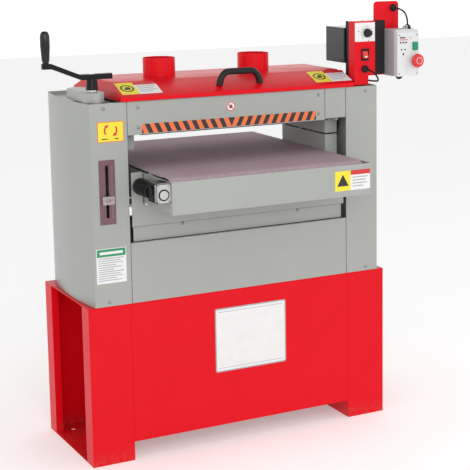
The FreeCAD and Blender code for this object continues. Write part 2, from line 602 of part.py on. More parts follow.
# --------------------------------------------------------------------------------------- conveyor
def conveyor():
    roller_z = "table_top - feed_belt_thick - roller_radius"
    rails = [block(sided(side, "rail_inner", "rail_inner + rail_sheet"),
                   ("apron_sheet + 1 - table_half", "table_half - apron_sheet - 1"), ("rail_low", "rail_top"))
             for side in (-1, 1)]
    bed = block(("-feed_belt_half + 2", "feed_belt_half - 2"), ("-bed_half", "bed_half"),
                ("table_top - feed_belt_thick - air - bed_thick", "table_top - feed_belt_thick - air"))
    beams = [block(("-rail_inner", "rail_inner"), (f"{y} - 10", f"{y} + 10"),
                   ("table_top - 45", "table_top - feed_belt_thick - air - bed_thick"))
             for y in (-240, 0, 240)]
    slots = [rod("X", "roller_axle + running_fit", sided(side, "rail_inner - 1", "rail_inner + 5"),
                 f"{end} * roller_y", roller_z) for side in (-1, 1) for end in (-1, 1)]
    keep("conveyor_bed", cut(join(bed, *beams, *rails), *slots))

    aprons = []
    for end in (-1, 1):
        def depth(start, stop):
            near, far = f"table_half - {start}", f"table_half - {stop}"
            return (far, near) if end > 0 else (f"-({near})", f"-({far})")
        face = block(("-apron_left", "apron_right"), depth(0, "apron_sheet"), ("apron_low", "apron_top"))
        hem = block(("-apron_left", "apron_right"), depth("apron_sheet", "apron_return"),
                    ("apron_low", "apron_low + apron_sheet"))
        cheek = block(("apron_right - apron_sheet", "apron_right"), depth("apron_sheet", "200"),
                      ("apron_low", "apron_top"))
        aprons.append(join(face, hem, cheek))
    keep("conveyor_aprons", group(*aprons))

    for end, name in ((-1, "drive_roller"), (1, "idler_roller")):
        y = f"{end} * roller_y"
        keep(name, join(rod("X", "roller_radius - 0.1", ("-feed_belt_half", "feed_belt_half"), y, roller_z),
                        rod("X", "roller_axle", ("-rail_inner - 22", "rail_inner + 12"), y, roller_z)))
    blocks = []
    for side, end in ((-1, 1), (1, -1), (1, 1)):
        body = block(sided(side, "rail_inner + rail_sheet", "rail_inner + rail_sheet + 14"),
                     (f"{end} * roller_y - 18", f"{end} * roller_y + 18"),
                     (f"{roller_z} - 18", f"{roller_z} + 18"))
        blocks.append(cut(body, rod("X", "roller_axle + running_fit",
                                    sided(side, "rail_inner", "rail_inner + 20"),
                                    f"{end} * roller_y", roller_z)))
    keep("roller_bearings", group(*blocks))

    centre = size("table_top") - size("feed_belt_thick") - size("roller_radius")
    reach, radius, half = size("roller_y"), size("roller_radius"), size("feed_belt_half")
    upright = Rotation(Vector(1, 1, 1), 120)
    keep("feed_belt", loop_belt([(-reach, centre, radius), (reach, centre, radius)],
                                size("feed_belt_thick"), -half, half, upright))

    x, z = "-feed_motor_x", "feed_motor_z"
    keep("feed_motor", join(
        rod("Y", "feed_motor_radius", ("-feed_motor_front", "-feed_motor_back - 8"), x, z),
        rod("Y", "feed_motor_radius - 5", ("-feed_motor_back - 8", "-feed_motor_back"), x, z)))
    gear_body = block((f"{x} - gearbox_half", "-rail_inner - rail_sheet"),
                      ("-roller_y - 34", "-feed_motor_front"),
                      (f"{z} - gearbox_half - 6", f"{z} + gearbox_half + 14"))
    output = rod("X", "roller_axle + running_fit", ("-rail_inner - 23", "-rail_inner"), "-roller_y",
                 roller_z)
    cap = rod("X", "gearbox_half - 4", (f"{x} - gearbox_half - 5", f"{x} - gearbox_half"), "-roller_y",
              roller_z)
    keep("feed_gearbox", cut(join(gear_body, cap), output))


# ------------------------------------------------------------------------------------------ crank
def crank():
    base, top = "column_top", "column_top + housing_height"
    c, w = "housing_corner", "sheet + 1"

    def octagon(inset):
        left, right = f"(-housing_left + {inset})", f"(-housing_right - {inset})"
        front, back = f"(-housing_front + {inset})", f"(housing_back - {inset})"
        k = f"({c} - {inset} / 2)"
        return [(left, f"{front} + {k}"), (f"{left} + {k}", front), (f"{right} - {k}", front),
                (right, f"{front} + {k}"), (right, f"{back} - {k}"), (f"{right} - {k}", back),
                (f"{left} + {k}", back), (left, f"{back} - {k}")]

    outer = rounded(plate_of("XY_Plane", octagon(0), "housing_height", z=base), "3",
                    lambda edge: edge.BoundBox.ZMin > size("housing_height") - 0.1)
    inner = plate_of("XY_Plane", octagon(w), f"housing_height - {w}", z=base)
    shaft_hole = rod("Z", "crank_shaft_radius + running_fit", (base, f"{top} + 1"), "-screw_x", "crank_y")
    keep("crank_housing", cut(outer, inner, shaft_hole))

    arm_top = "crank_arm_z + crank_arm_thick"
    disc = cut(rod("Z", "sprocket_radius - 0.1", ("upper_chain_z", "upper_chain_z + chain_height"),
                   "-screw_x", "crank_y"),
               rod("Z", "crank_shaft_radius", ("upper_chain_z", "upper_chain_z + chain_height"),
                   "-screw_x", "crank_y"))
    collar = cut(rod("Z", "crank_shaft_radius + 5", (f"{top} + 0.5", f"{top} + 6"), "-screw_x", "crank_y"),
                 rod("Z", "crank_shaft_radius", (f"{top}", f"{top} + 7"), "-screw_x", "crank_y"))
    keep("crank_shaft", group(rod("Z", "crank_shaft_radius", ("column_top - 2 * web_drop", arm_top),
                                  "-screw_x", "crank_y"), disc, collar))

    reach, rise, thick = "crank_reach", "crank_rise", "crank_arm_thick"
    bar = plate_of("XZ_Plane", [
        ("crank_stub", 0), ("crank_stub", thick), ("-38", thick), (f"-{reach} + 12", f"{rise} + {thick}"),
        (f"-{reach} - 12", f"{rise} + {thick}"), (f"-{reach} - 12", rise), (f"-{reach} + 14", rise),
        ("-34", 0)], "crank_arm_width", "-screw_x", "crank_y + crank_arm_width / 2", "crank_arm_z")
    bar = rounded(bar, "8", lambda edge: abs(edge.BoundBox.ZLength - size("crank_arm_thick")) < 0.1
                  and edge.BoundBox.XLength < 0.1)
    hub = turned([("crank_shaft_radius", 0), ("crank_hub_radius", 0), ("crank_hub_radius - 3", 38 - 5),
                  ("crank_shaft_radius", 38 - 5)], "-screw_x", "crank_y", f"{top} + 6")
    pin = rod("Z", "grip_pin", (f"crank_arm_z + {rise} + 2", f"{arm_top} + {rise} + grip_length - 8"),
              f"-screw_x - {reach}", "crank_y")
    bore = rod("Z", "crank_shaft_radius", (f"{top}", f"{arm_top} + 1"), "-screw_x", "crank_y")
    keep("crank_arm", cut(join(bar, hub, pin), bore))
    grip = turned([("grip_pin + running_fit", 0), ("grip_radius - 5", 0), ("grip_radius - 5", 4),
                   ("grip_radius - 3", 8), ("grip_radius", "grip_length * 0.55"),
                   ("grip_radius", "grip_length - 14"), ("grip_radius - 3", "grip_length - 4"),
                   ("grip_radius - 8", "grip_length"), (0, "grip_length"), (0, "grip_length - 7"),
                   ("grip_pin + running_fit", "grip_length - 7")],
                  f"-screw_x - {reach}", "crank_y", f"{arm_top} + {rise} + 0.5")
    keep("crank_grip", grip)


# ------------------------------------------------------------------------------------------- hood
def hood_block(inset, low):
    """The hood's outline drawn in by an inset: an upright lip under a hipped lid."""
    lid = doc.addObject("Part::Wedge", "lid")
    left, right = f"(-hood_left + {inset})", f"(hood_right - {inset})"
    half, flat = f"(hood_half - {inset})", f"(hood_flat_half - {inset} / 2)"
    bind(lid, Xmin=left, Xmax=right, Zmin=f"-{half}", Zmax=half, Ymin="lip_top",
         Ymax=f"hood_top - {inset}", X2min=f"{left} + hood_hip", X2max=f"{right} - hood_hip",
         Z2min=f"-{flat}", Z2max=flat)
    lid.Placement = Placement(Vector(), Rotation(Vector(1, 0, 0), 90))
    lip = block((left, right), (f"-{half}", half), (low, "lip_top"))
    return join(lid, lip)


def hood():
    ports, mouths = [], []
    for side in (-1, 1):
        x = f"port_offset + {side} * port_spacing / 2"
        ports.append(rod("Z", "port_radius", ("hood_top - sheet", "port_rim"), x, 0))
        mouths.append(rod("Z", "port_radius - sheet", ("lip_top", "port_rim + 1"), x, 0))
    lugs = []
    for side in (-1, 1):
        near = "hinge_x + hinge_length"
        lugs.append(block(sided(side, f"{near} + air", f"{near} + 8"),
                          ("hood_half - sheet / 2", "hinge_y + hinge_radius"),
                          ("hinge_z - hinge_radius", "lip_top - 4")))
        lugs.append(rod("X", "hinge_pin", sided(side, "hinge_x + 5", f"{near} + 4"), "hinge_y", "hinge_z"))
    shell = cut(join(hood_block(0, "lip_low"), *ports), hood_block("sheet", "lip_low - 1"), *mouths)
    keep("dust_hood", join(shell, *lugs))

    hinges = []
    for side in (-1, 1):
        span = sided(side, "hinge_x", "hinge_x + hinge_length")
        leaf = block(span, ("stand_depth / 2", "stand_depth / 2 + 3"), ("column_top - 40", "column_top - 2"))
        web = block(span, ("stand_depth / 2 + 2", "hinge_y"),
                    ("hinge_z - hinge_radius", "hinge_z - hinge_radius + 4"))
        barrel = rod("X", "hinge_radius", span, "hinge_y", "hinge_z")
        bore = rod("X", "hinge_pin + running_fit", span, "hinge_y", "hinge_z")
        hinges.append(cut(join(leaf, web, barrel), bore))
    keep("hood_hinges", group(*hinges))

    slope = (size("hood_top") - size("lip_top")) / (size("hood_half") - size("hood_flat_half"))
    foot_y = 38 - size("hood_half")
    foot_z = size("lip_top") + (foot_y + size("hood_half")) * slope
    centre, half = size("handle_x"), size("handle_half")
    corners = [(-half, foot_z - 1), (-half + 6, foot_z + 24), (-half + 22, foot_z + 40),
               (half - 22, foot_z + 40), (half - 6, foot_z + 24), (half, foot_z - 1)]
    handle = tube_along([Vector(centre + x, foot_y, z) for x, z in corners], size("handle_radius"))
    keep("hood_handle", cut(handle, hood_block(0, "lip_low")))


# ----------------------------------------------------------------------------------- control stand
def control_stand():
    front, back, thick = "control_front", "control_back", "control_sheet"
    face = plate_of("XZ_Plane", [
        ("control_left", "stem_low"), ("stem_right", "stem_low"), ("stem_right", "face_low"),
        ("face_right", "face_low"), ("face_right", "face_top"), ("control_left", "face_top")],
        thick, y=f"-{front} + {thick}")
    left_return = block(("control_left", f"control_left + {thick}"), (f"-{front}", f"-{back}"),
                        ("stem_low", "face_top"))
    top_return = block(("control_left", "face_right"), (f"-{front}", f"-{back}"),
                       (f"face_top - {thick}", "face_top"))
    back_plate = plate_of("XZ_Plane", [
        ("control_left", "plate_low"), ("plate_right", "plate_low"), ("plate_right", "tab_top"),
        ("tab_left", "tab_top"), ("tab_left", "face_top"), ("control_left", "face_top")],
        thick, y=f"-{back} + {thick}")
    back_plate = rounded(back_plate, "tab_round", lambda edge: edge.BoundBox.ZLength < 0.1
                         and edge.BoundBox.XLength < 0.1 and edge.BoundBox.ZMin > size("face_top") + 1)
    knob_hole = rod("Y", "knob_stem + running_fit", (f"-{front} - 1", f"-{front} + {thick} + 1"),
                    "knob_x", "knob_z")
    rocker_hole = block(("rocker_x - rocker_half_width + 2", "rocker_x + rocker_half_width - 2"),
                        (f"-{front} - 1", f"-{front} + {thick} + 1"),
                        ("rocker_z - rocker_half_height + 2", "rocker_z + rocker_half_height - 2"))
    keep("control_bracket", cut(join(face, left_return, top_return, back_plate), knob_hole, rocker_hole))

    post_back = f"-{back} + {thick} + post_depth"
    keep("control_post", cut(
        block(("control_left", "post_right"), (f"-{back} + {thick}", post_back),
              ("column_top - web_drop", "face_top")),
        block(("control_left + 4", "post_right - 4"), (f"-{back} + {thick} + 4", f"{post_back} + 1"),
              ("column_top - web_drop + 4", "face_top + 1"))))
    keep("controller_box", block(("controller_left", "controller_right"), (post_back, "-controller_back"),
                                 ("controller_low", "controller_top")))

    keep("speed_knob", turned([(0, 0), ("knob_stem", 0), ("knob_stem", 8), ("knob_radius", 8),
                               ("knob_radius", 12), ("knob_radius - 3", 14), ("knob_radius - 4", 24),
                               (0, 24)], "knob_x", f"-{front} + 5", "knob_z", axis="Y"))
    sub_parts[-1].Placement = Placement(Vector(), Rotation(Vector(1, 0, 0), 90))
    frame_span = (f"-{front} - 4", f"-{front}")
    rocker_room = block(("rocker_x - rocker_half_width + rocker_frame",
                         "rocker_x + rocker_half_width - rocker_frame"),
                        (f"-{front} - 5", f"-{front} + 17"),
                        ("rocker_z - rocker_half_height + rocker_frame",
                         "rocker_z + rocker_half_height - rocker_frame"))
    bezel = block(("rocker_x - rocker_half_width", "rocker_x + rocker_half_width"), frame_span,
                  ("rocker_z - rocker_half_height", "rocker_z + rocker_half_height"))
    tray = block(("rocker_x - rocker_half_width + 2.3", "rocker_x + rocker_half_width - 2.3"),
                 (f"-{front}", f"-{front} + 20"),
                 ("rocker_z - rocker_half_height + 2.3", "rocker_z + rocker_half_height - 2.3"))
    keep("rocker_frame", cut(join(bezel, tray), rocker_room))
    inner = "(rocker_half_height - rocker_frame - 3)"
    half = "(rocker_half_width - rocker_frame - 0.4)"
    keep("rocker_switch", plate_of("YZ_Plane", [
        (f"-{front} + 6", f"rocker_z + {inner}"), (f"-{front} - 2", f"rocker_z + {inner}"),
        (f"-{front} - 4.5", "rocker_z"), (f"-{front} - 8", f"rocker_z - {inner}"),
        (f"-{front} + 2", f"rocker_z - {inner}"), (f"-{front} + 10", "rocker_z")],
        f"2 * {half}", x=f"rocker_x - {half}"))


def gland(x, y, z, direction):
    """A cable gland: a collar under a tapering dome nut, pointing along a direction."""
    body = turned([("cable_radius", 0), ("gland_radius", 0), ("gland_radius", "gland_height * 0.4"),
                   ("gland_radius - 1.5", "gland_height * 0.45"), ("gland_radius - 3", "gland_height * 0.8"),
                   ("cable_radius + 2", "gland_height"), ("cable_radius", "gland_height")], x, y, z)
    body.Placement = Placement(Vector(), Rotation(Vector(0, 0, 1), Vector(*direction)))
    return body


def switch_box():
    back, depth = "control_back", "switch_depth"
    parting = f"-{back} - switch_body_depth"
    front = f"-{back} - {depth}"
    walls = block(("switch_left", "switch_right"), (parting, f"-{back}"), ("switch_low", "switch_top"))
    room = block(("switch_left + switch_wall", "switch_right - switch_wall"),
                 (f"{parting} - 1", f"-{back} - switch_wall"),
                 ("switch_low + switch_wall", "switch_top - switch_wall"))
    eye = cut(block(("switch_left + 36", "switch_left + 52"), (f"{parting}", f"{parting} + 5"),
                    ("switch_top", "switch_top + 12")),
              rod("Y", "3", (f"{parting} - 1", f"{parting} + 6"), "switch_left + 44", "switch_top + 6"))
    keep("switch_box", join(cut(walls, room), eye))

    cover = plate_of("YZ_Plane", [
        (parting, "switch_low"), (parting, "switch_top"), (f"{front} + 10", "switch_top"),
        (front, "switch_top - 10"), (front, "switch_low")], "switch_right - switch_left", x="switch_left")
    cavity = plate_of("YZ_Plane", [
        (f"{parting} + 1", "switch_low + switch_wall"), (f"{parting} + 1", "switch_top - switch_wall"),
        (f"{front} + 12", "switch_top - switch_wall"), (f"{front} + switch_wall", "switch_top - 13"),
        (f"{front} + switch_wall", "switch_low + switch_wall")],
        "switch_right - switch_left - 2 * switch_wall", x="switch_left + switch_wall")
    start_hole = block(("start_x - start_half_width", "start_x + start_half_width"),
                       (f"{front} - 1", f"{front} + switch_wall + 1"),
                       ("start_z - start_half_height", "start_z + start_half_height"))
    stop_hole = rod("Y", "stop_stem + running_fit", (f"{front} - 1", f"{front} + switch_wall + 1"),
                    "start_x", "stop_z")
    keep("switch_cover", cut(cover, cavity, start_hole, stop_hole))
    keep("start_button", rounded(plate_of(
        "XZ_Plane", [("start_x - start_half_width + 0.4", "start_z - start_half_height + 0.4"),
                     ("start_x + start_half_width - 0.4", "start_z - start_half_height + 0.4"),
                     ("start_x + start_half_width - 0.4", "start_z + start_half_height - 0.4"),
                     ("start_x - start_half_width + 0.4", "start_z + start_half_height - 0.4")],
        "start_proud + 14", y=f"{front} + 14"), "1", lambda edge: edge.BoundBox.YMax < 0
        and edge.BoundBox.YLength < 0.1 and edge.BoundBox.YMax < -size("start_proud") - 13))
    keep("stop_button", turned([
        (0, 0), ("stop_stem", 0), ("stop_stem", "stop_proud - 2"), ("stop_radius - 4", "stop_proud - 2"),
        ("stop_radius", "stop_proud + 2"), ("stop_radius", "stop_proud + 7"),
        ("stop_radius - 4", "stop_proud + 12"), (0, "stop_proud + 14")],
        "start_x", f"{front} + 12", "stop_z"))
    sub_parts[-1].Placement = Placement(Vector(), Rotation(Vector(1, 0, 0), 90))


def glands_and_cables():
    spots = {
        "tab": (("plate_right - 21", "-control_back", "tab_top - 22"), (0, -1, 0)),
        "box": (("switch_right - 22", "-control_back - switch_body_depth + 14", "switch_top"), (0, 0, 1)),
        "face": (("stem_right - 14", "-control_front", "face_low + 22"), (0, -1, 0)),
        "under": (("controller_right - 22", "-controller_back - 64", "controller_low"), (0, 0, -1)),
        "inlet": (("switch_left + 40", "-control_back - 28", "switch_low"), (0, 0, -1)),
    }
    glands = [gland(*spot, direction) for spot, direction in spots.values()]
    keep("cable_glands", group(*glands))
    doc.recompute()
    nose = {name: body.Placement.Base + Vector(*direction) * size("gland_height")
            for (name, (_, direction)), body in zip(spots.items(), glands)}
    down = nose["box"]
    upper = [nose["tab"], nose["tab"] + Vector(5, -42, -3), Vector(down.x, down.y - 3, down.z + 15), down]
    up, level = nose["under"], size("column_top") + 12
    lower = [nose["face"], nose["face"] + Vector(4, -36, -4),
             Vector(nose["face"].x + 26, nose["face"].y - 34, level + 6),
             Vector(up.x + 2, nose["face"].y + 12, level), Vector(up.x + 2, up.y - 20, level),
             Vector(up.x, up.y, level + 19), up]
    radius = size("cable_radius")
    keep("control_cables", group(tube_along(upper, radius), tube_along(lower, radius)))


def cover_screws():
    """Pan-head screws that hold the covers and panels, seen from the front and the back."""
    upper, lower = "column_top - 16", "stand_height + 12"
    spots = [(f"{side} * (column_corner - 43)", z) for side in (-1, 1) for z in (upper, lower)]
    front_only = [(x, f"column_top - {drop}") for x in ("61 - frame_inner", "upper_panel_right - 22")
                  for drop in (18, 78)]
    rear_only = [(f"{side} * (frame_inner - 61)", z) for side in (-1, 1)
                 for z in ("column_top - 18", "stand_height + 30")]
    heads = []
    for end, chosen in ((-1, spots + front_only), (1, spots + rear_only)):
        face = "stand_depth / 2"
        span = sided(end, face, f"{face} + screw_head_height")
        heads += [rod("Y", "screw_head_radius", span, x, z) for x, z in chosen]
    for x in (-197, 197):
        setback = "-stand_depth / 2 + strip_setback"
        heads.append(rod("Y", "screw_head_radius - 1", (f"{setback} - 1.5", setback), x, "strip_top - 6"))
    keep("cover_screws", group(*heads))


for build in (stand, columns, panels, side_frames, drums, pressure_rollers, lift_gear, conveyor, crank,
              hood, control_stand, switch_box, glands_and_cables, cover_screws):
    build()
doc.recompute()

for thing in doc.Objects:
    assert not {"Invalid", "Error"} & set(thing.State), f"{thing.Label} failed: {thing.State}"
for part in sub_parts:
    assert not part.Shape.isNull() and part.Shape.isValid(), f"{part.Label} has no valid shape"

os.makedirs("parts", exist_ok=True)
for part in sub_parts:
    part.Shape.exportStep(f"parts/{part.Label}.step")
print(len(sub_parts), "sub-parts written")
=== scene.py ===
"""Double-drum sander: painted sheet metal, grit cloth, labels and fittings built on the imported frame."""
import json
import math

import bmesh
import bpy
from mathutils import Matrix, Vector


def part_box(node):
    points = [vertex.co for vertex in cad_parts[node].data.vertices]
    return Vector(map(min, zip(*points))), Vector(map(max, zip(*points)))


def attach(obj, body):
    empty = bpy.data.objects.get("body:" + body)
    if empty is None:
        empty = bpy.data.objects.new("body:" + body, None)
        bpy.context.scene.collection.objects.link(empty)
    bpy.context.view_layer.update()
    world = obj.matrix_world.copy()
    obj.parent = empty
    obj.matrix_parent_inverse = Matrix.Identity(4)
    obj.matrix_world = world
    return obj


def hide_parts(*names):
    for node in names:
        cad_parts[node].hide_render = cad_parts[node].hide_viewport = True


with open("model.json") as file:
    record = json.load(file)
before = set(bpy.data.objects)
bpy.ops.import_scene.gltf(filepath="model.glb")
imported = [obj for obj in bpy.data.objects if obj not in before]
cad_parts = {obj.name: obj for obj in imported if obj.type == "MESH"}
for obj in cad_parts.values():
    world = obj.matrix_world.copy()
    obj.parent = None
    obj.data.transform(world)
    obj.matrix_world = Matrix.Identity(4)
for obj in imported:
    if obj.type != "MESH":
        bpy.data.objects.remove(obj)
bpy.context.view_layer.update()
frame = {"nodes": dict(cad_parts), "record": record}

bl_info = {
    "name": "Double Drum Sander",
    "version": (1, 0, 0),
    "blender": (4, 5, 0),
    "location": "View3D > Sidebar > Drum Sander",
    "description": "Finishes a double-drum sander on its engineering frame",
    "category": "Add Mesh",
}

BODY_OF = {node: body for body, nodes in frame["record"]["behaviour"]["bodies"].items() for node in nodes}


# ------------------------------------------------------------------------------- sizes and colours
def length_property(name, description, default):
    return bpy.props.FloatProperty(name=name, description=description, default=default, unit="LENGTH")


class SanderSizes(bpy.types.PropertyGroup):
    """Sizes of the fine detail, in metres."""
    edge: length_property("Edge Radius", "Rounding of folded and cut sheet edges", 0.0008)
    casting_edge: length_property("Casting Radius", "Rounding of moulded and cast edges", 0.0025)
    label: length_property("Label Thickness", "Height of a printed plate above its panel", 0.0005)
    stripe: length_property("Stripe Pitch", "Distance from one dark hazard stripe to the next", 0.030)
    scale_x: length_property("Scale Centre", "X of the height scale and of its pointer", -0.437)


def colour_property(name, description, default):
    return bpy.props.FloatVectorProperty(name=name, description=description, default=default, size=3,
                                         min=0.0, max=1.0, subtype="COLOR")


class SanderColours(bpy.types.PropertyGroup):
    """Colours of the finishes."""
    red: colour_property("Red Enamel", "Stand, hood and control bracket", (0.70, 0.004, 0.012))
    grey: colour_property("Grey Enamel", "Columns, panels and table", (0.365, 0.375, 0.355))
    cloth: colour_property("Conveyor Cloth", "Grit of the feed belt", (0.41, 0.302, 0.338))
    grit: colour_property("Abrasive", "Sanding cloth on the drums", (0.16, 0.045, 0.022))
    orange: colour_property("Hazard Orange", "Stripes on the front panel", (0.82, 0.16, 0.035))
    yellow: colour_property("Label Yellow", "Label backgrounds", (0.83, 0.69, 0.03))
    plum: colour_property("Scale Plate", "Background of the height scale", (0.16, 0.07, 0.09))


def sizes():
    return bpy.context.scene.sander_sizes


def colours():
    return bpy.context.scene.sander_colours


# ---------------------------------------------------------------------------------- shader writing
class Wire:
    """A shader socket that can be used in ordinary arithmetic."""

    def __init__(self, finish, socket):
        self.finish = finish
        self.socket = socket

    def maths(self, operation, first, second):
        return self.finish.node("ShaderNodeMath", {"operation": operation}, {0: first, 1: second})

    def __add__(self, other):
        return self.maths("ADD", self, other)

    def __sub__(self, other):
        return self.maths("SUBTRACT", self, other)

    def __rsub__(self, other):
        return self.maths("SUBTRACT", other, self)

    def __mul__(self, other):
        return self.maths("MULTIPLY", self, other)

    def wrapped(self):
        return self.maths("FRACT", self, 0)

    def over(self, edge, width):
        """0 below an edge, 1 above it, with a ramp of the given width between."""
        return self.finish.node("ShaderNodeMapRange", {"clamp": True}, {
            "Value": self, "From Min": edge, "From Max": edge + width, "To Min": 0.0, "To Max": 1.0})

    __radd__ = __add__
    __rmul__ = __mul__


class Finish:
    """A material being written: one Principled shader and the nodes that feed it."""

    def __init__(self, name, **constants):
        self.material = bpy.data.materials.new(name)
        self.material.use_nodes = True
        self.tree = self.material.node_tree
        self.shader = next(n for n in self.tree.nodes if n.type == "BSDF_PRINCIPLED")
        for socket, value in constants.items():
            self.shader.inputs[socket.replace("_", " ").title().replace("Ior", "IOR")].default_value = value
        self.point = self.node("ShaderNodeTexCoord", {}, {}, "Object")

    def node(self, kind, settings, values, output=0):
        """Adds one node: its settings first, then the value or link of each named socket."""
        made = self.tree.nodes.new(kind)
        for name, value in settings.items():
            setattr(made, name, value)
        for name, value in values.items():
            if isinstance(value, Wire):
                self.tree.links.new(value.socket, made.inputs[name])
            else:
                made.inputs[name].default_value = value
        return Wire(self, made.outputs[output])

    def noise(self, scale, detail=3.0, stretch=None):
        point = self.point
        if stretch:
            point = self.node("ShaderNodeMapping", {}, {"Vector": point, "Scale": stretch})
        return self.node("ShaderNodeTexNoise", {}, {"Vector": point, "Scale": scale, "Detail": detail})

    def axes(self):
        """The object's X, Y and Z as three wires."""
        return [self.node("ShaderNodeSeparateXYZ", {}, {"Vector": self.point}, axis) for axis in range(3)]

    def mix(self, factor, first, second):
        """Blends two colours by a factor."""
        values = {"Factor": factor}
        for index, colour in ((6, first), (7, second)):
            values[index] = colour if isinstance(colour, Wire) else (*colour, 1.0)
        return self.node("ShaderNodeMix", {"data_type": "RGBA"}, values, 2)

    def feed(self, **wires):
        """Links wires or values to the shader's sockets."""
        for name, value in wires.items():
            socket = self.shader.inputs[name.replace("_", " ").title()]
            if isinstance(value, Wire):
                self.tree.links.new(value.socket, socket)
            else:
                socket.default_value = value
        return self

    def bump(self, height, depth, strength=1.0):
        """Raises the surface by a height wire times a depth in metres."""
        normal = self.node("ShaderNodeBump", {}, {"Height": height, "Distance": depth, "Strength": strength})
        return self.feed(normal=normal)


def lighter(colour, amount):
    return tuple(min(1.0, channel * (1 + amount)) for channel in colour)


FINISHES = {}


def finish(maker):
    """Makes a finish the first time it is asked for and hands out the same one afterwards."""
    def ready():
        if maker.__name__ not in FINISHES:
            FINISHES[maker.__name__] = maker().material
        return FINISHES[maker.__name__]
    return ready


def enamel(name, colour, gloss, floor_darkening=0.0):
    """Sprayed enamel: faint orange peel, soft blotches, fine scuffs and brownish patches that darken it near
    the floor.
    """
    paint = Finish(name, coat_weight=gloss, coat_roughness=0.12, specular_ior_level=0.12)
    blotch = paint.noise(2.3, 4.0)
    cloud = paint.noise(14.0, 3.0)
    scratch = paint.noise(9.0, 6.0, (1.0, 1.0, 14.0)).over(0.69, 0.05) * paint.noise(3.1).over(0.55, 0.1)
    tone = paint.mix(blotch * 0.7 + cloud * 0.3, lighter(colour, -0.08), lighter(colour, 0.08))
    tone = paint.mix(scratch * 0.10, tone, lighter(colour, 0.7))
    if floor_darkening:
        # Darker in brownish noise patches within 5 cm of the floor, strongest at the floor itself
        height = paint.axes()[2]
        low = (1 - height.over(0.0, 0.05)) * paint.noise(60.0, 5.0).over(0.40, 0.3)
        tone = paint.mix(low * floor_darkening, tone, (0.22, 0.16, 0.13))
    paint.feed(base_color=tone, roughness=cloud * 0.16 + 0.24 + scratch * 0.2)
    return paint.bump(paint.noise(430.0, 2.0) + paint.noise(60.0, 2.0) * 0.5, 0.00012, 0.35)


@finish
def red_enamel():
    return enamel("red enamel", colours().red, 0.05, 0.30)


@finish
def grey_enamel():
    return enamel("grey enamel", colours().grey, 0.03)


@finish
def black_enamel():
    return enamel("black enamel", (0.009, 0.009, 0.010), 0.10)


def metal(name, colour, roughness, grain, stretch, depth=0.00003):
    """Bare metal with a machined or drawn grain."""
    bare = Finish(name, metallic=1.0)
    lines = bare.noise(grain, 5.0, stretch)
    stain = bare.noise(7.0, 4.0)
    tone = bare.mix(stain, lighter(colour, -0.22), lighter(colour, 0.08))
    bare.feed(base_color=tone, roughness=lines * 0.22 + (roughness - 0.11))
    return bare.bump(lines, depth, 0.5)


@finish
def ground_steel():
    return metal("ground steel", (0.56, 0.57, 0.58), 0.28, 260.0, (0.08, 1.0, 1.0))


@finish
def zinc_plate():
    return metal("zinc plate", (0.36, 0.37, 0.38), 0.36, 340.0, (1.0, 1.0, 1.0))


@finish
def polished_steel():
    return metal("polished steel", (0.78, 0.79, 0.80), 0.16, 180.0, (1.0, 1.0, 0.1))


@finish
def bronze():
    return metal("bronze", (0.50, 0.33, 0.13), 0.34, 200.0, (1.0, 1.0, 0.2))


@finish
def cast_alloy():
    """Bead-blasted die casting."""
    alloy = Finish("cast alloy", metallic=0.9)
    pits = alloy.noise(520.0, 3.0)
    smear = alloy.noise(34.0, 4.0)
    alloy.feed(base_color=alloy.mix(smear, (0.36, 0.35, 0.35), (0.66, 0.65, 0.64)),
               roughness=smear * 0.3 + 0.25)
    return alloy.bump(pits + smear * 2, 0.0004, 0.6)


@finish
def grey_iron():
    """Machined grey iron with an oil film and a coarse skin."""
    iron = Finish("grey iron", metallic=0.75)
    skin = iron.noise(190.0, 4.0)
    oil = iron.noise(11.0, 5.0)
    iron.feed(base_color=iron.mix(oil, (0.085, 0.088, 0.092), (0.20, 0.20, 0.205)),
              roughness=oil * 0.3 + 0.34)
    return iron.bump(skin, 0.0003, 0.5)


@finish
def motor_enamel():
    return enamel("motor enamel", (0.035, 0.055, 0.075), 0.15)


def moulded(name, colour, roughness, grain=900.0, coat=0.0):
    """Moulded plastic with a spark-eroded grain and rubbed spots."""
    plastic = Finish(name, coat_weight=coat, coat_roughness=0.1, specular_ior_level=0.22)
    fine = plastic.noise(grain, 2.0)
    rubbed = plastic.noise(26.0, 4.0)
    plastic.feed(base_color=plastic.mix(rubbed, lighter(colour, -0.12), lighter(colour, 0.14)),
                 roughness=rubbed * 0.18 + (roughness - 0.09))
    return plastic.bump(fine, 0.00012, 0.4)


def plain(name, *settings):
    """The finish of a plain moulding."""
    def maker():
        return moulded(name, *settings)
    maker.__name__ = name
    return finish(maker)


black_plastic = plain("black plastic", (0.014, 0.014, 0.015), 0.38)
glossy_black = plain("glossy black", (0.008, 0.008, 0.009), 0.20, 600.0, 0.35)
white_plastic = plain("white plastic", (0.66, 0.67, 0.67), 0.42)
# Painted shade: a darker lavender-grey copy of the white plastic, standing for the shade on the switch box's
# sides
white_plastic_in_shade = plain("pale plastic", (0.42, 0.41, 0.43), 0.45)
green_plastic = plain("green plastic", (0.0, 0.26, 0.13), 0.30, 700.0, 0.3)
red_plastic = plain("red plastic", (0.68, 0.035, 0.030), 0.28, 700.0, 0.4)
black_rubber = plain("black rubber", (0.020, 0.020, 0.021), 0.72, 420.0)
cable_sheath = plain("cable sheath", (0.012, 0.012, 0.013), 0.50, 1200.0)


@finish
def clear_plastic():
    """Scuffed clear acrylic."""
    clear = Finish("clear plastic")
    haze = clear.noise(90.0, 4.0)
    clear.feed(base_color=clear.mix(haze, (0.50, 0.42, 0.45), (0.66, 0.60, 0.62)),
               roughness=haze * 0.2 + 0.08, alpha=haze * 0.25 + 0.38)
    return clear.bump(haze, 0.0002, 0.3)


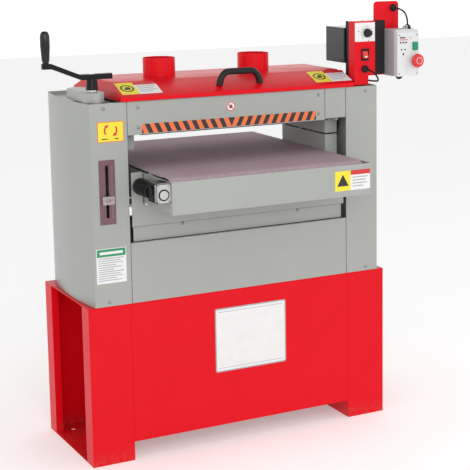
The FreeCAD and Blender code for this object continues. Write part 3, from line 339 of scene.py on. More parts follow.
@finish
def conveyor_cloth():
    """Grit-coated cloth: dense speckle and lengthwise wear."""
    cloth = Finish("conveyor cloth")
    base = colours().cloth
    speck = cloth.noise(760.0, 2.0)
    fleck = cloth.noise(300.0, 3.0)
    track = cloth.noise(5.0, 4.0, (3.0, 0.35, 1.0))
    tone = cloth.mix(fleck.over(0.36, 0.3), lighter(base, -0.28), lighter(base, 0.22))
    tone = cloth.mix(speck.over(0.60, 0.08) * 0.5, tone, lighter(base, 1.1))
    tone = cloth.mix(track.over(0.45, 0.3) * 0.20, tone, lighter(base, 0.45))
    cloth.feed(base_color=tone, roughness=fleck * 0.15 + 0.76)
    return cloth.bump(speck + fleck * 1.5, 0.0007, 0.7)


@finish
def drum_abrasive():
    """Abrasive cloth wound on the drum, with a dark seam along its helix."""
    wrap = Finish("drum abrasive")
    along, depth, height = wrap.axes()
    drum_y, drum_radius = 0.085, 0.065
    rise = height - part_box("front_drum")[0][2] - drum_radius
    forward = wrap.node("ShaderNodeMath", {"operation": "ABSOLUTE"}, {0: depth}) - drum_y
    turn = wrap.node("ShaderNodeMath", {"operation": "ARCTAN2"}, {0: rise, 1: forward})
    helix = (along * 7.5 + turn * (0.5 / math.pi)).wrapped()
    seam = helix.over(0.0, 0.012) * (1 - helix.over(0.965, 0.012))
    grain = wrap.noise(620.0, 3.0)
    tone = wrap.mix(grain.over(0.35, 0.3), lighter(colours().grit, -0.35), lighter(colours().grit, 0.5))
    tone = wrap.mix(seam, (0.02, 0.015, 0.012), tone)
    wrap.feed(base_color=tone, roughness=grain * 0.2 + 0.70)
    return wrap.bump(grain + seam * 1.5, 0.0006, 0.6)


def printed(name, colour, roughness=0.42):
    """Printed film: even colour with faint handling marks."""
    film = Finish(name, coat_weight=0.2, coat_roughness=0.2)
    mark = film.noise(38.0, 4.0)
    film.feed(base_color=film.mix(mark, lighter(colour, -0.07), lighter(colour, 0.05)),
              roughness=mark * 0.12 + roughness - 0.06)
    return film.bump(film.noise(240.0, 2.0), 0.00008, 0.3)


def ink(name, colour, roughness=0.42):
    """A printed film's finish; its colour is looked up when the film is first used."""
    def maker():
        return printed("print " + name, colour(), roughness)
    maker.__name__ = "print_" + name
    return finish(maker)


print_yellow = ink("yellow", lambda: colours().yellow)
print_orange = ink("orange", lambda: colours().orange)
print_black = ink("black", lambda: (0.012, 0.011, 0.012))
print_white = ink("white", lambda: (0.76, 0.76, 0.76))
print_grey = ink("grey", lambda: (0.36, 0.36, 0.38))
print_red = ink("red", lambda: (0.60, 0.018, 0.018))
print_green = ink("green", lambda: (0.012, 0.26, 0.10))
print_plum = ink("plum", lambda: colours().plum, 0.36)


# ------------------------------------------------------------------------------------ mesh helpers
def add_object(name, mesh):
    made = bpy.data.objects.new(name, mesh)
    bpy.context.scene.collection.objects.link(made)
    return made


def coat(thing, *finishes):
    """Gives a piece its finishes in slot order."""
    thing.data.materials.clear()
    for ready in finishes:
        thing.data.materials.append(ready())
    return thing


def belongs(thing, node, *replaced):
    """The piece moves with a node's body and stands for the nodes named."""
    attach(thing, BODY_OF[node])
    if replaced:
        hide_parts(*replaced)
    return thing


def smooth(mesh, angle=35.0):
    mesh.shade_smooth()
    mesh.set_sharp_from_angle(angle=math.radians(angle))


def softened(node, ready, radius, segments=2, angle=30.0):
    """A finished copy of a CAD node whose sharp edges are rounded off, standing for that node."""
    mesh = frame["nodes"][node].data.copy()
    work = bmesh.new()
    work.from_mesh(mesh)
    bmesh.ops.remove_doubles(work, verts=work.verts, dist=0.00001)
    bmesh.ops.dissolve_limit(work, angle_limit=math.radians(0.6), verts=work.verts, edges=work.edges)
    work.to_mesh(mesh)
    work.free()
    smooth(mesh)
    piece = coat(add_object(node + "_finished", mesh), ready)
    bevel = piece.modifiers.new("Rounded edges", "BEVEL")
    bevel.width = radius
    bevel.segments = segments
    bevel.limit_method = "ANGLE"
    bevel.angle_limit = math.radians(angle)
    bevel.use_clamp_overlap = True
    bevel.harden_normals = False
    normals = piece.modifiers.new("Even shading", "WEIGHTED_NORMAL")
    normals.keep_sharp = False
    return belongs(piece, node, node)


def dress(node, ready):
    """Gives a CAD node that keeps its own mesh its finish."""
    thing = frame["nodes"][node]
    if not thing.data.materials:
        thing.data.materials.append(None)
    for index in range(len(thing.data.materials)):
        thing.data.materials[index] = ready()


def islands(node):
    """The lowest and highest corner of each separate solid of a CAD node."""
    work = bmesh.new()
    work.from_mesh(frame["nodes"][node].data)
    bmesh.ops.remove_doubles(work, verts=work.verts, dist=0.00001)
    found, seen = [], set()
    for start in work.verts:
        if start in seen:
            continue
        stack, members = [start], []
        seen.add(start)
        while stack:
            vertex = stack.pop()
            members.append(vertex.co.copy())
            for edge in vertex.link_edges:
                other = edge.other_vert(vertex)
                if other not in seen:
                    seen.add(other)
                    stack.append(other)
        low = Vector(min(m[i] for m in members) for i in range(3))
        high = Vector(max(m[i] for m in members) for i in range(3))
        found.append((low, high))
    work.free()
    return found


def lathe(profile, steps=32):
    """A closed mesh turned round Z from (radius, height) corners that start and end on the axis."""
    work = bmesh.new()
    rings = []
    for radius, height in profile:
        count = 1 if radius == 0 else steps
        rings.append([work.verts.new((radius * math.cos(2 * math.pi * i / steps),
                                      radius * math.sin(2 * math.pi * i / steps), height))
                      for i in range(count)])
    for lower, upper in zip(rings, rings[1:]):
        for i in range(steps):
            j = (i + 1) % steps
            ring = [lower[i % len(lower)], lower[j % len(lower)], upper[j % len(upper)],
                    upper[i % len(upper)]]
            corners = list(dict.fromkeys(ring))
            if len(corners) > 2:
                work.faces.new(corners)
    bmesh.ops.recalc_face_normals(work, faces=work.faces)
    mesh = bpy.data.meshes.new("turned")
    work.to_mesh(mesh)
    work.free()
    smooth(mesh)
    return mesh


def box_mesh(wide, deep, tall, radius=0.0):
    """A small block standing on the origin, with rounded edges."""
    work = bmesh.new()
    bmesh.ops.create_cube(work, size=1.0)
    bmesh.ops.scale(work, vec=(wide, deep, tall), verts=work.verts)
    bmesh.ops.translate(work, vec=(0, 0, tall / 2), verts=work.verts)
    if radius:
        bmesh.ops.bevel(work, geom=list(work.edges), offset=radius, segments=2, affect="EDGES")
    mesh = bpy.data.meshes.new("block")
    work.to_mesh(mesh)
    work.free()
    smooth(mesh)
    return mesh


# --------------------------------------------------------------------------- repeated small pieces
REPEAT = "Repeated part"


def repeat_tree():
    """The node tree that sets one part at every place, turned as each place says."""
    tree = bpy.data.node_groups.new(REPEAT, "GeometryNodeTree")
    face = tree.interface
    face.new_socket(name="Places", in_out="INPUT", socket_type="NodeSocketGeometry")
    face.new_socket(name="Part", in_out="INPUT", socket_type="NodeSocketObject")
    face.new_socket(name="Finish", in_out="INPUT", socket_type="NodeSocketMaterial")
    face.new_socket(name="Pieces", in_out="OUTPUT", socket_type="NodeSocketGeometry")
    enter = tree.nodes.new("NodeGroupInput")
    leave = tree.nodes.new("NodeGroupOutput")
    part = tree.nodes.new("GeometryNodeObjectInfo")
    turn = tree.nodes.new("GeometryNodeInputNamedAttribute")
    turn.data_type = "FLOAT_VECTOR"
    turn.inputs["Name"].default_value = "turn"
    spread = tree.nodes.new("GeometryNodeInstanceOnPoints")
    realise = tree.nodes.new("GeometryNodeRealizeInstances")
    paint = tree.nodes.new("GeometryNodeSetMaterial")
    links = tree.links
    links.new(enter.outputs["Places"], spread.inputs["Points"])
    links.new(enter.outputs["Part"], part.inputs["Object"])
    links.new(part.outputs["Geometry"], spread.inputs["Instance"])
    links.new(turn.outputs["Attribute"], spread.inputs["Rotation"])
    links.new(spread.outputs["Instances"], realise.inputs["Geometry"])
    links.new(realise.outputs["Geometry"], paint.inputs["Geometry"])
    links.new(enter.outputs["Finish"], paint.inputs["Material"])
    links.new(paint.outputs["Geometry"], leave.inputs["Pieces"])
    return tree


def repeated(name, part_mesh, ready, places, node, *replaced):
    """Sets a part at each (place, turn) and joins the result into one plain piece on a node's body."""
    points = bpy.data.meshes.new(name + "_places")
    points.from_pydata([tuple(place) for place, _ in places], [], [])
    turns = points.attributes.new("turn", "FLOAT_VECTOR", "POINT")
    for index, (_, turn) in enumerate(places):
        turns.data[index].vector = turn
    carrier = add_object(name + "_carrier", points)
    part = add_object(name + "_part", part_mesh)
    tree = bpy.data.node_groups.get(REPEAT) or repeat_tree()
    modifier = carrier.modifiers.new("Repeat", "NODES")
    modifier.node_group = tree
    given = {"Part": part, "Finish": ready()}
    for item in tree.interface.items_tree:
        if item.in_out == "INPUT" and item.name in given:
            modifier[item.identifier] = given[item.name]
    ready_carrier = carrier.evaluated_get(bpy.context.evaluated_depsgraph_get())
    mesh = bpy.data.meshes.new_from_object(ready_carrier)
    for helper in (carrier, part):
        bpy.data.objects.remove(helper)
    mesh.name = name
    smooth(mesh)
    piece = add_object(name, mesh)
    return belongs(piece, node, *replaced)


FRONT = (math.radians(90), 0.0, 0.0)
BACK = (math.radians(-90), 0.0, 0.0)


def screw_mesh(radius, height):
    """A button-head screw with a socket in its crown."""
    socket = radius * 0.42
    return lathe([(0, -0.0008), (radius * 0.98, -0.0008), (radius, 0.0), (radius * 0.97, height * 0.35),
                  (radius * 0.80, height * 0.78), (radius * 0.52, height), (socket, height),
                  (socket * 0.92, height * 0.25), (0, height * 0.25)], 14)


# ------------------------------------------------------------------------------------ flat artwork
def rectangle(left, low, right, top, radius=0.0):
    """An upright rectangle with optional round corners, anticlockwise."""
    if radius <= 0:
        return [(left, low), (right, low), (right, top), (left, top)]
    points = []
    for cx, cy, start in ((right - radius, low + radius, -90), (right - radius, top - radius, 0),
                          (left + radius, top - radius, 90), (left + radius, low + radius, 180)):
        for step in range(5):
            angle = math.radians(start + 22.5 * step)
            points.append((cx + radius * math.cos(angle), cy + radius * math.sin(angle)))
    return points


def disc(u, v, radius, steps=28):
    return [(u + radius * math.cos(2 * math.pi * i / steps), v + radius * math.sin(2 * math.pi * i / steps))
            for i in range(steps)]


def arc_band(u, v, inner, outer, start, stop, steps=12):
    """Part of a ring between two angles in degrees."""
    angles = [math.radians(start + (stop - start) * i / steps) for i in range(steps + 1)]
    out = [(u + outer * math.cos(a), v + outer * math.sin(a)) for a in angles]
    back = [(u + inner * math.cos(a), v + inner * math.sin(a)) for a in reversed(angles)]
    return out + back


def arrow_head(u, v, radius, angle, way, size):
    """A triangle at the end of an arc, pointing along it."""
    a = math.radians(angle)
    tip = a + way * size / radius
    return [(u + (radius - size * 0.55) * math.cos(a), v + (radius - size * 0.55) * math.sin(a)),
            (u + (radius + size * 0.55) * math.cos(a), v + (radius + size * 0.55) * math.sin(a)),
            (u + radius * math.cos(tip), v + radius * math.sin(tip))]


def text_bars(left, top, width, rows, pitch, height):
    """Short rules that stand in for lines of small print."""
    shares = (1.0, 0.86, 0.95, 0.7, 0.9, 0.6)
    return [rectangle(left, top - row * pitch - height, left + width * shares[row % 6], top - row * pitch)
            for row in range(rows)]


def cut_short(outline, end, way):
    """An outline without what lies past an upright line."""
    kept = []
    for (u, v), (next_u, next_v) in zip(outline, outline[1:] + outline[:1]):
        inside, next_inside = (end - u) * way >= 0, (end - next_u) * way >= 0
        if inside:
            kept.append((u, v))
        if inside != next_inside:
            kept.append((end, v + (next_v - v) * (end - u) / (next_u - u)))
    return kept


def facing_front(x, y, z):
    """Artwork axes on a surface that faces the operator: right, up and outwards."""
    return Matrix(((1, 0, 0, x), (0, 0, -1, y), (0, 1, 0, z), (0, 0, 0, 1)))


def on_slope(x, y, z, angle):
    """The same, on a surface that leans back by an angle from level."""
    c, s = math.cos(angle), math.sin(angle)
    return Matrix(((1, 0, 0, x), (0, c, -s, y), (0, s, c, z), (0, 0, 0, 1)))


# Tops of the second and third printed layers, in thicknesses of the first
SECOND, THIRD = 1.4, 1.8


def artwork(name, place, layers, node):
    """A printed plate: layers of (finish, bottom, top, outlines) raised from a surface."""
    work = bmesh.new()
    finishes = []
    for ready, low, high, outlines in layers:
        if ready not in finishes:
            finishes.append(ready)
        for outline in outlines:
            area = sum(a[0] * b[1] - b[0] * a[1] for a, b in zip(outline, outline[1:] + outline[:1]))
            ring = outline if area > 0 else outline[::-1]
            lower = [work.verts.new(place @ Vector((u, v, low))) for u, v in ring]
            upper = [work.verts.new(place @ Vector((u, v, high))) for u, v in ring]
            made = [work.faces.new(upper), work.faces.new(lower[::-1])]
            for i in range(len(ring)):
                j = (i + 1) % len(ring)
                made.append(work.faces.new((lower[i], lower[j], upper[j], upper[i])))
            for face in made:
                face.material_index = finishes.index(ready)
    mesh = bpy.data.meshes.new(name)
    for ready in finishes:
        mesh.materials.append(ready())
    work.to_mesh(mesh)
    work.free()
    plate = add_object(name, mesh)
    belongs(plate, node)
    return plate


# ------------------------------------------------------------------------------------------ pieces
class SANDER_OT_stand(bpy.types.Operator):
    """Stand of folded red sheet: two legs, the aprons, the top plate and a blank plate"""
    bl_idname = "sander.stand"
    bl_label = "Stand"

    def execute(self, context):
        edge = sizes().edge
        for node in ("stand_left_leg", "stand_right_leg", "stand_aprons", "stand_top_plate"):
            softened(node, red_enamel, edge)
        film = sizes().label
        place = facing_front(0.022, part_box("stand_aprons")[0][1], 0.332)
        artwork("stand_plate", place, [
            (print_grey, 0, film, [rectangle(-0.123, -0.102, 0.123, 0.102, 0.006)]),
            (print_white, film, SECOND * film, [rectangle(-0.119, -0.098, 0.119, 0.098, 0.004)]),
            (print_grey, SECOND * film, THIRD * film, [
                rectangle(-0.112, 0.089, 0.112, 0.0905), rectangle(-0.112, -0.0905, 0.112, -0.089)]),
        ], "stand_aprons")
        return {"FINISHED"}


class SANDER_OT_columns(bpy.types.Operator):
    """Bowed column covers, front and rear panels and the frames behind them"""
    bl_idname = "sander.columns"
    bl_label = "Columns and Panels"

    def execute(self, context):
        edge = sizes().edge
        for node in ("left_column_cover", "right_column_cover", "front_upper_panel", "front_filler_panel",
                     "rear_panels", "front_mid_strip", "front_lower_panel", "left_side_frame",
                     "right_side_frame"):
            softened(node, grey_enamel, edge)
        for node in ("drum_bearings", "screw_bearings"):
            dress(node, grey_iron)
        return {"FINISHED"}


def gearbox_front():
    """Corners of the feed gearbox without the round cap on its outer side."""
    low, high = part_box("feed_gearbox")
    return Vector((low[0] + 0.005, low[1], low[2])), Vector(high)


class SANDER_OT_screws(bpy.types.Operator):
    """Button-head screws of the covers, panels and boxes, and bolts on the lift frame"""
    bl_idname = "sander.screws"
    bl_label = "Screws"

    def execute(self, context):
        cover = []
        for low, high in islands("cover_screws"):
            middle = (low + high) / 2
            front = middle.y < 0
            cover.append(((middle.x, high.y if front else low.y, middle.z), FRONT if front else BACK))
        repeated("cover_screw_heads", screw_mesh(0.005, 0.0025), zinc_plate, cover, "cover_screws",
                 "cover_screws")
        low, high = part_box("switch_cover")
        corners = [((x, low[1], z), FRONT) for x in (low[0] + 0.008, high[0] - 0.008)
                   for z in (low[2] + 0.008, high[2] - 0.018)]
        repeated("switch_cover_screws", screw_mesh(0.0028, 0.0012), zinc_plate, corners, "switch_cover")
        low, high = gearbox_front()
        rim = [((x, low[1], z), FRONT) for x in (low[0] + 0.007, high[0] - 0.007)
               for z in (low[2] + 0.007, high[2] - 0.007)]
        repeated("gearbox_screws", screw_mesh(0.0030, 0.003), zinc_plate, rim, "feed_gearbox")
        ear = [((-0.350, -0.1975, z), FRONT) for z in (0.853, 0.833)]
        repeated("lift_frame_bolts", screw_mesh(0.0042, 0.003), zinc_plate, ear, "lift_frame")
        return {"FINISHED"}


class SANDER_OT_drums(bpy.types.Operator):
    """Sanding drums, pressure rollers, the drive belt and the main motor"""
    bl_idname = "sander.drums"
    bl_label = "Drums and Drive"

    def execute(self, context):
        for node in ("front_drum", "rear_drum"):
            dress(node, drum_abrasive)
        for node in ("front_pressure_roller", "rear_pressure_roller", "front_pressure_springs",
                     "rear_pressure_springs"):
            dress(node, ground_steel)
        for node in ("front_pressure_blocks", "rear_pressure_blocks", "motor_pulley"):
            dress(node, grey_iron)
        dress("drive_belt", black_rubber)
        softened("main_motor", motor_enamel, 0.0015)
        return {"FINISHED"}


class SANDER_OT_lift(bpy.types.Operator):
    """Lift screws, nuts, chains, the lift frame and the height pointer"""
    bl_idname = "sander.lift"
    bl_label = "Lift Gear"

    def execute(self, context):
        for node in ("left_lift_screw", "right_lift_screw", "lift_chains"):
            dress(node, ground_steel)
        dress("lift_nuts", bronze)
        softened("lift_frame", grey_enamel, sizes().edge)
        softened("height_pointer", zinc_plate, 0.0008)
        self.pointer_window()
        return {"FINISHED"}

    def pointer_window(self):
        """Clear block that slides over the scale, with its clamping screw and reading line."""
        x, z = sizes().scale_x, 0.810
        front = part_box("height_pointer")[0][1]
        place = facing_front(x, front, z)
        artwork("pointer_window", place, [
            (clear_plastic, 0.0, 0.003, [rectangle(-0.018, -0.012, 0.018, 0.012, 0.002)]),
            (print_red, 0.003, 0.0032, [rectangle(-0.018, -0.0004, -0.007, 0.0004),
                                        rectangle(0.007, -0.0004, 0.018, 0.0004)]),
        ], "height_pointer")
        repeated("pointer_screw", screw_mesh(0.0048, 0.003), zinc_plate, [((x, front - 0.003, z), FRONT)],
                 "height_pointer")


class SANDER_OT_conveyor(bpy.types.Operator):
    """Conveyor table: grit cloth, rollers, rails, aprons and the feed drive"""
    bl_idname = "sander.conveyor"
    bl_label = "Conveyor"

    def execute(self, context):
        dress("feed_belt", conveyor_cloth)
        dress("drive_roller", black_rubber)
        dress("idler_roller", ground_steel)
        softened("conveyor_bed", grey_enamel, sizes().edge)
        softened("conveyor_aprons", grey_enamel, sizes().edge, 3)
        softened("roller_bearings", black_plastic, 0.0015)
        softened("feed_gearbox", black_enamel, sizes().casting_edge, 3)
        self.end_plate()
        self.feed_motor()
        return {"FINISHED"}

    def end_plate(self):
        """Bright die-cast cover on the gearbox's front face, with a raised boss."""
        low, high = gearbox_front()
        wide, tall = high[0] - low[0] - 0.003, high[2] - low[2] - 0.003
        place = facing_front((low[0] + high[0]) / 2, low[1], (low[2] + high[2]) / 2)
        half, rise, lip = wide / 2, tall / 2, 0.0022
        piece = artwork("gearbox_end_plate", place, [
            (cast_alloy, -0.0115, 0.0, [rectangle(-half - lip, -rise - lip, half + lip, rise + lip, 0.005)]),
            (cast_alloy, 0.0, 0.0025, [rectangle(-half, -rise, half, rise, 0.006)]),
            (black_enamel, 0.0025, 0.0032, [disc(0.0, -0.004, 0.017)]),
            (cast_alloy, 0.0032, 0.0045, [disc(0.0, -0.004, 0.013)]),
        ], "feed_gearbox")
        edge = piece.modifiers.new("Rounded edges", "BEVEL")
        edge.width = 0.0006

    def feed_motor(self):
        """A ribbed motor barrel with a stepped end cap."""
        low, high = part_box("feed_motor")
        radius = (high[2] - low[2]) / 2
        length = high[1] - low[1]
        profile = [(0, 0), (radius, 0), (radius, 0.010)]
        start, ribs = 0.014, 13
        pitch = (length - 0.034) / ribs
        for rib in range(ribs):
            at = start + rib * pitch
            profile += [(radius - 0.0035, at), (radius - 0.0035, at + pitch * 0.45),
                        (radius - 0.0004, at + pitch * 0.55), (radius - 0.0004, at + pitch * 0.95)]
        profile += [(radius, length - 0.018), (radius, length - 0.008), (radius - 0.003, length - 0.004),
                    (radius - 0.007, length), (0, length)]
        mesh = lathe(profile, 48)
        mesh.transform(Matrix.Translation(((low[0] + high[0]) / 2, low[1], (low[2] + high[2]) / 2))
                       @ Matrix.Rotation(math.radians(-90), 4, "X"))
        barrel = coat(add_object("feed_motor_barrel", mesh), black_enamel)
        belongs(barrel, "feed_motor", "feed_motor")


class SANDER_OT_crank(bpy.types.Operator):
    """Crank with its grip, and the housing over the upper chain"""
    bl_idname = "sander.crank"
    bl_label = "Crank"

    def execute(self, context):
        softened("crank_housing", grey_enamel, sizes().edge)
        softened("crank_arm", black_enamel, 0.003, 3)
        softened("crank_shaft", polished_steel, 0.0006)
        softened("crank_grip", glossy_black, 0.0012, 3)
        return {"FINISHED"}


class SANDER_OT_hood(bpy.types.Operator):
    """Hinged dust hood with its ports and grab handle"""
    bl_idname = "sander.hood"
    bl_label = "Dust Hood"

    def execute(self, context):
        softened("dust_hood", red_enamel, sizes().edge)
        softened("hood_handle", black_plastic, 0.0015, 3)
        softened("hood_hinges", zinc_plate, 0.0006)
        return {"FINISHED"}


class SANDER_OT_controls(bpy.types.Operator):
    """Control bracket, speed controller, switch box and every knob and button"""
    bl_idname = "sander.controls"
    bl_label = "Controls"

    def execute(self, context):
        softened("control_bracket", red_enamel, sizes().edge)
        softened("control_post", black_enamel, sizes().edge)
        softened("controller_box", glossy_black, sizes().casting_edge, 3)
        # The switch box body is the cover's white plastic with painted shade on it
        softened("switch_box", white_plastic_in_shade, sizes().edge)
        softened("switch_cover", white_plastic, sizes().edge)
        softened("rocker_frame", black_plastic, 0.0008)
        softened("rocker_switch", red_plastic, 0.0008)
        softened("start_button", green_plastic, 0.0008)
        softened("stop_button", red_plastic, 0.0015, 3)
        softened("speed_knob", black_plastic, 0.0006)
        dress("cable_glands", black_plastic)
        self.backing()
        self.prints(sizes().label)
        return {"FINISHED"}

    def backing(self):
        """Black seating panel between the bracket and the switch box."""
        low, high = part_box("switch_box")
        outline = rectangle(0.503, low[2] + 0.004, low[0] + 0.002, high[2] + 0.016, 0.003)
        artwork("switch_backing", facing_front(0.0, high[1], 0.0),
                [(black_rubber, -0.0002, 0.0035, [outline])], "switch_box")

    def prints(self, film):
        """Small generic marks on the switch cover, and pale marks on the buttons."""
        low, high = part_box("switch_cover")
        left, top = low[0] + 0.010, high[2] - 0.028
        artwork("switch_prints", facing_front(0.0, low[1], 0.0), [
            (print_black, 0.0, film, [rectangle(left, top, left + 0.020, top + 0.004)]
             + [rectangle(left + k, top - 0.016, left + k + 0.006, top - 0.011) for k in (0.0, 0.010, 0.020)]
             + [disc(left + 0.006, top - 0.036, 0.0028, 12), disc(left + 0.019, top - 0.036, 0.0028, 12),
                rectangle(left + 0.010, top - 0.054, left + 0.015, top - 0.047)]),
            (print_red, 0.0, film, [rectangle(left, top - 0.006, left + 0.030, top - 0.0035),
                                    disc(left + 0.038, top + 0.001, 0.0018, 12)]),
        ], "switch_cover")
        low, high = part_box("stop_button")
        artwork("stop_ring", facing_front((low[0] + high[0]) / 2, low[1], (low[2] + high[2]) / 2), [
            (print_white, -0.0006, 0.0003, [
                arc_band(0, 0, 0.0095, 0.0108, start, start + 84, 10) for start in (3, 93, 183, 273)])],
            "stop_button")
        low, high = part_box("rocker_switch")
        artwork("rocker_mark", facing_front((low[0] + high[0]) / 2, low[1], low[2] + 0.006), [
            (print_white, -0.0040, 0.0003, [rectangle(-0.004, -0.0022, 0.004, 0.0022, 0.001)])],
            "rocker_switch")


class SANDER_OT_cables(bpy.types.Operator):
    """The two short control cables between their glands"""
    bl_idname = "sander.cables"
    bl_label = "Cables"

    UPPER = ((0.573, -0.171, 1.338), (0.578, -0.213, 1.335), (0.599, -0.206, 1.301), (0.599, -0.203, 1.286))
    LOWER = ((0.446, -0.204, 1.148), (0.450, -0.240, 1.144), (0.472, -0.238, 1.113), (0.480, -0.192, 1.107),
             (0.480, -0.100, 1.107), (0.478, -0.080, 1.126), (0.478, -0.080, 1.151))

    def execute(self, context):
        upper = self.cable("upper_cable", self.UPPER)
        lower = self.cable("lower_cable", self.LOWER)
        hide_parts("control_cables")
        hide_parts("control_cables")
        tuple(self.UPPER[0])
        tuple(self.LOWER[0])
        return {"FINISHED"}

    def cable(self, name, route):
        """A smooth round cable along its route's points."""
        curve = bpy.data.curves.new(name, "CURVE")
        curve.dimensions = "3D"
        line = curve.splines.new("NURBS")
        line.points.add(len(route) - 1)
        for point, place in zip(line.points, route):
            point.co = (*place, 1.0)
        line.order_u = 3
        line.use_endpoint_u = True
        line.resolution_u = 16
        curve.bevel_depth = 0.0028
        curve.bevel_resolution = 5
        curve.use_fill_caps = True
        curve.materials.append(cable_sheath())
        made = add_object(name, curve)
        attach(made, BODY_OF["control_cables"])
        return made


class SANDER_OT_labels(bpy.types.Operator):
    """Generic printed plates: hazard strip, height scale, crank arrows and the small notices"""
    bl_idname = "sander.labels"
    bl_label = "Labels"

    def execute(self, context):
        film = sizes().label
        self.hazard_strip(film)
        self.crank_arrows(film)
        self.height_scale(film)
        self.rules_plate(film)
        self.notices(film)
        self.dial_plate(film)
        return {"FINISHED"}

    def hazard_strip(self, film):
        """Slanted dark stripes that meet in a V at the middle."""
        left, right, low, high = -0.324, 0.261, 0.999, 1.027
        middle, pitch = -0.032, sizes().stripe
        place = facing_front(0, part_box("front_upper_panel")[0][1], 0)
        lean, width = 0.013, pitch / 2
        stripes = [[(middle, low), (middle + width * 0.75, high), (middle - width * 0.75, high)]]
        for way, end in ((-1, left), (1, right)):
            foot = middle + way * width
            while (end - foot) * way > 0.002:
                stripes.append(cut_short([(foot, low), (foot + way * width, low),
                                          (foot + way * (width + lean), high), (foot + way * lean, high)],
                                         end, way))
                foot += way * pitch
        artwork("hazard_strip", place, [
            (print_orange, 0, film, [rectangle(left, low, right, high)]),
            (print_black, film, SECOND * film, stripes)], "front_upper_panel")

    def crank_arrows(self, film):
        """Two curved arrows that show which way the crank raises the table."""
        place = facing_front(-0.4215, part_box("left_column_cover")[0][1], 1.011)
        arrows = []
        for way in (-1, 1):
            start, stop = 90 - way * 52, 90 - way * 128
            tip = start if way < 0 else stop
            arrows.append(arc_band(way * 0.001, 0.004, 0.0150, 0.0200, start, stop))
            arrows.append(arrow_head(way * 0.001, 0.004, 0.0175, tip, -1, 0.011))
        artwork("crank_arrow_plate", place, [
            (print_orange, 0, film, [rectangle(-0.0405, -0.030, 0.0405, 0.030, 0.001)]),
            (print_yellow, film, SECOND * film, [rectangle(-0.0385, -0.028, 0.0385, 0.028, 0.001)]),
            (print_red, SECOND * film, THIRD * film, arrows),
            (print_black, SECOND * film, THIRD * film,
             [rectangle(-0.028, -0.022, -0.010, -0.019), rectangle(0.012, -0.022, 0.024, -0.019)]),
        ], "left_column_cover")

    def height_scale(self, film):
        """The plate round the pointer's slot, with a tick for every four millimetres of travel."""
        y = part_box("left_column_cover")[0][1]
        x = sizes().scale_x
        place = facing_front(x, y, 0.835)
        half, slot_low, slot_high, slot = 0.025, -0.078, 0.078, 0.005
        artwork("height_scale_plate", place, [(print_plum, 0, film, [
            rectangle(-half, -0.098, -slot, 0.094, 0.0), rectangle(slot, -0.098, half, 0.094, 0.0),
            rectangle(-slot, -0.098, slot, slot_low), rectangle(-slot, slot_high, slot, 0.094)])],
            "left_column_cover")
        ticks = [((x + 0.015, y - film, 0.757 + 0.004 * step), FRONT) for step in range(39)]
        repeated("height_scale_ticks", box_mesh(0.006, 0.0006, 0.0003), print_grey, ticks,
                 "left_column_cover")

    def rules_plate(self, film):
        place = facing_front(-0.4315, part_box("left_column_cover")[0][1], 0.6135)
        artwork("rules_plate", place, [
            (print_white, 0, film, [rectangle(-0.0465, -0.0525, 0.0465, 0.0525, 0.001)]),
            (print_green, film, SECOND * film, [rectangle(-0.0445, 0.028, 0.0445, 0.0505)]),
            (print_white, SECOND * film, THIRD * film, [rectangle(-0.036, 0.035, 0.036, 0.043)]),
            (print_grey, film, SECOND * film, text_bars(-0.041, 0.024, 0.080, 11, 0.0066, 0.0026)),
        ], "left_column_cover")

    def notices(self, film):
        slope = math.atan2(0.037, 0.094)
        for name, x, wide in (("left_notice", -0.3135, 0.127), ("right_notice", 0.335, 0.130)):
            place = on_slope(x, -0.155, 1.108 + 0.051 * math.tan(slope) + 0.0002, slope)
            self.notice(name, place, wide, 0.074, film, "dust_hood", "round")
        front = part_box("conveyor_aprons")[0][1]
        self.notice("apron_notice", facing_front(0.2735, front, 0.8355), 0.123, 0.061, film,
                    "conveyor_aprons", "angle")
        place = facing_front(-0.034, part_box("front_upper_panel")[0][1], 1.060)
        artwork("front_roundel", place, [
            (print_white, 0, film, [disc(0, 0, 0.0155)]),
            (print_red, film, SECOND * film, [arc_band(0, 0, 0.012, 0.015, 0, 180, 20),
                                           arc_band(0, 0, 0.012, 0.015, 180, 360, 20),
                                           [(-0.0092, 0.0072), (-0.0072, 0.0092), (0.0092, -0.0072),
                                            (0.0072, -0.0092)]]),
            (print_black, film, 1.3 * film, [disc(0, 0, 0.0055, 18)]),
        ], "front_upper_panel")

    def notice(self, name, place, wide, tall, film, node, mark):
        """A plate with a yellow picture field and a white field of small print under a red head."""
        left, right, split = -wide / 2, wide / 2, -wide / 2 + wide * 0.44
        u, v = (left + split) / 2, 0.0
        if mark == "round":
            picture = [arc_band(u, v, 0.016, 0.021, 0, 180, 20), arc_band(u, v, 0.016, 0.021, 180, 360, 20),
                       rectangle(u - 0.009, v - 0.008, u + 0.010, v + 0.002),
                       rectangle(u - 0.003, v + 0.002, u + 0.009, v + 0.009)]
        else:
            picture = [[(u - 0.020, v - 0.016), (u + 0.020, v - 0.016), (u, v + 0.020)]]
        artwork(name, place, [
            (print_white, 0, film, [rectangle(left, -tall / 2, right, tall / 2, 0.001)]),
            (print_yellow, film, SECOND * film, [rectangle(left, -tall / 2, split, tall / 2)]),
            (print_red, film, SECOND * film, [rectangle(split, tall * 0.27, right, tall / 2)]),
            (print_black, SECOND * film, THIRD * film, picture),
            (print_grey, film, SECOND * film,
             text_bars(split + 0.006, tall * 0.17, (right - split) * 0.8, 4, tall * 0.15, tall * 0.05)),
        ], node)

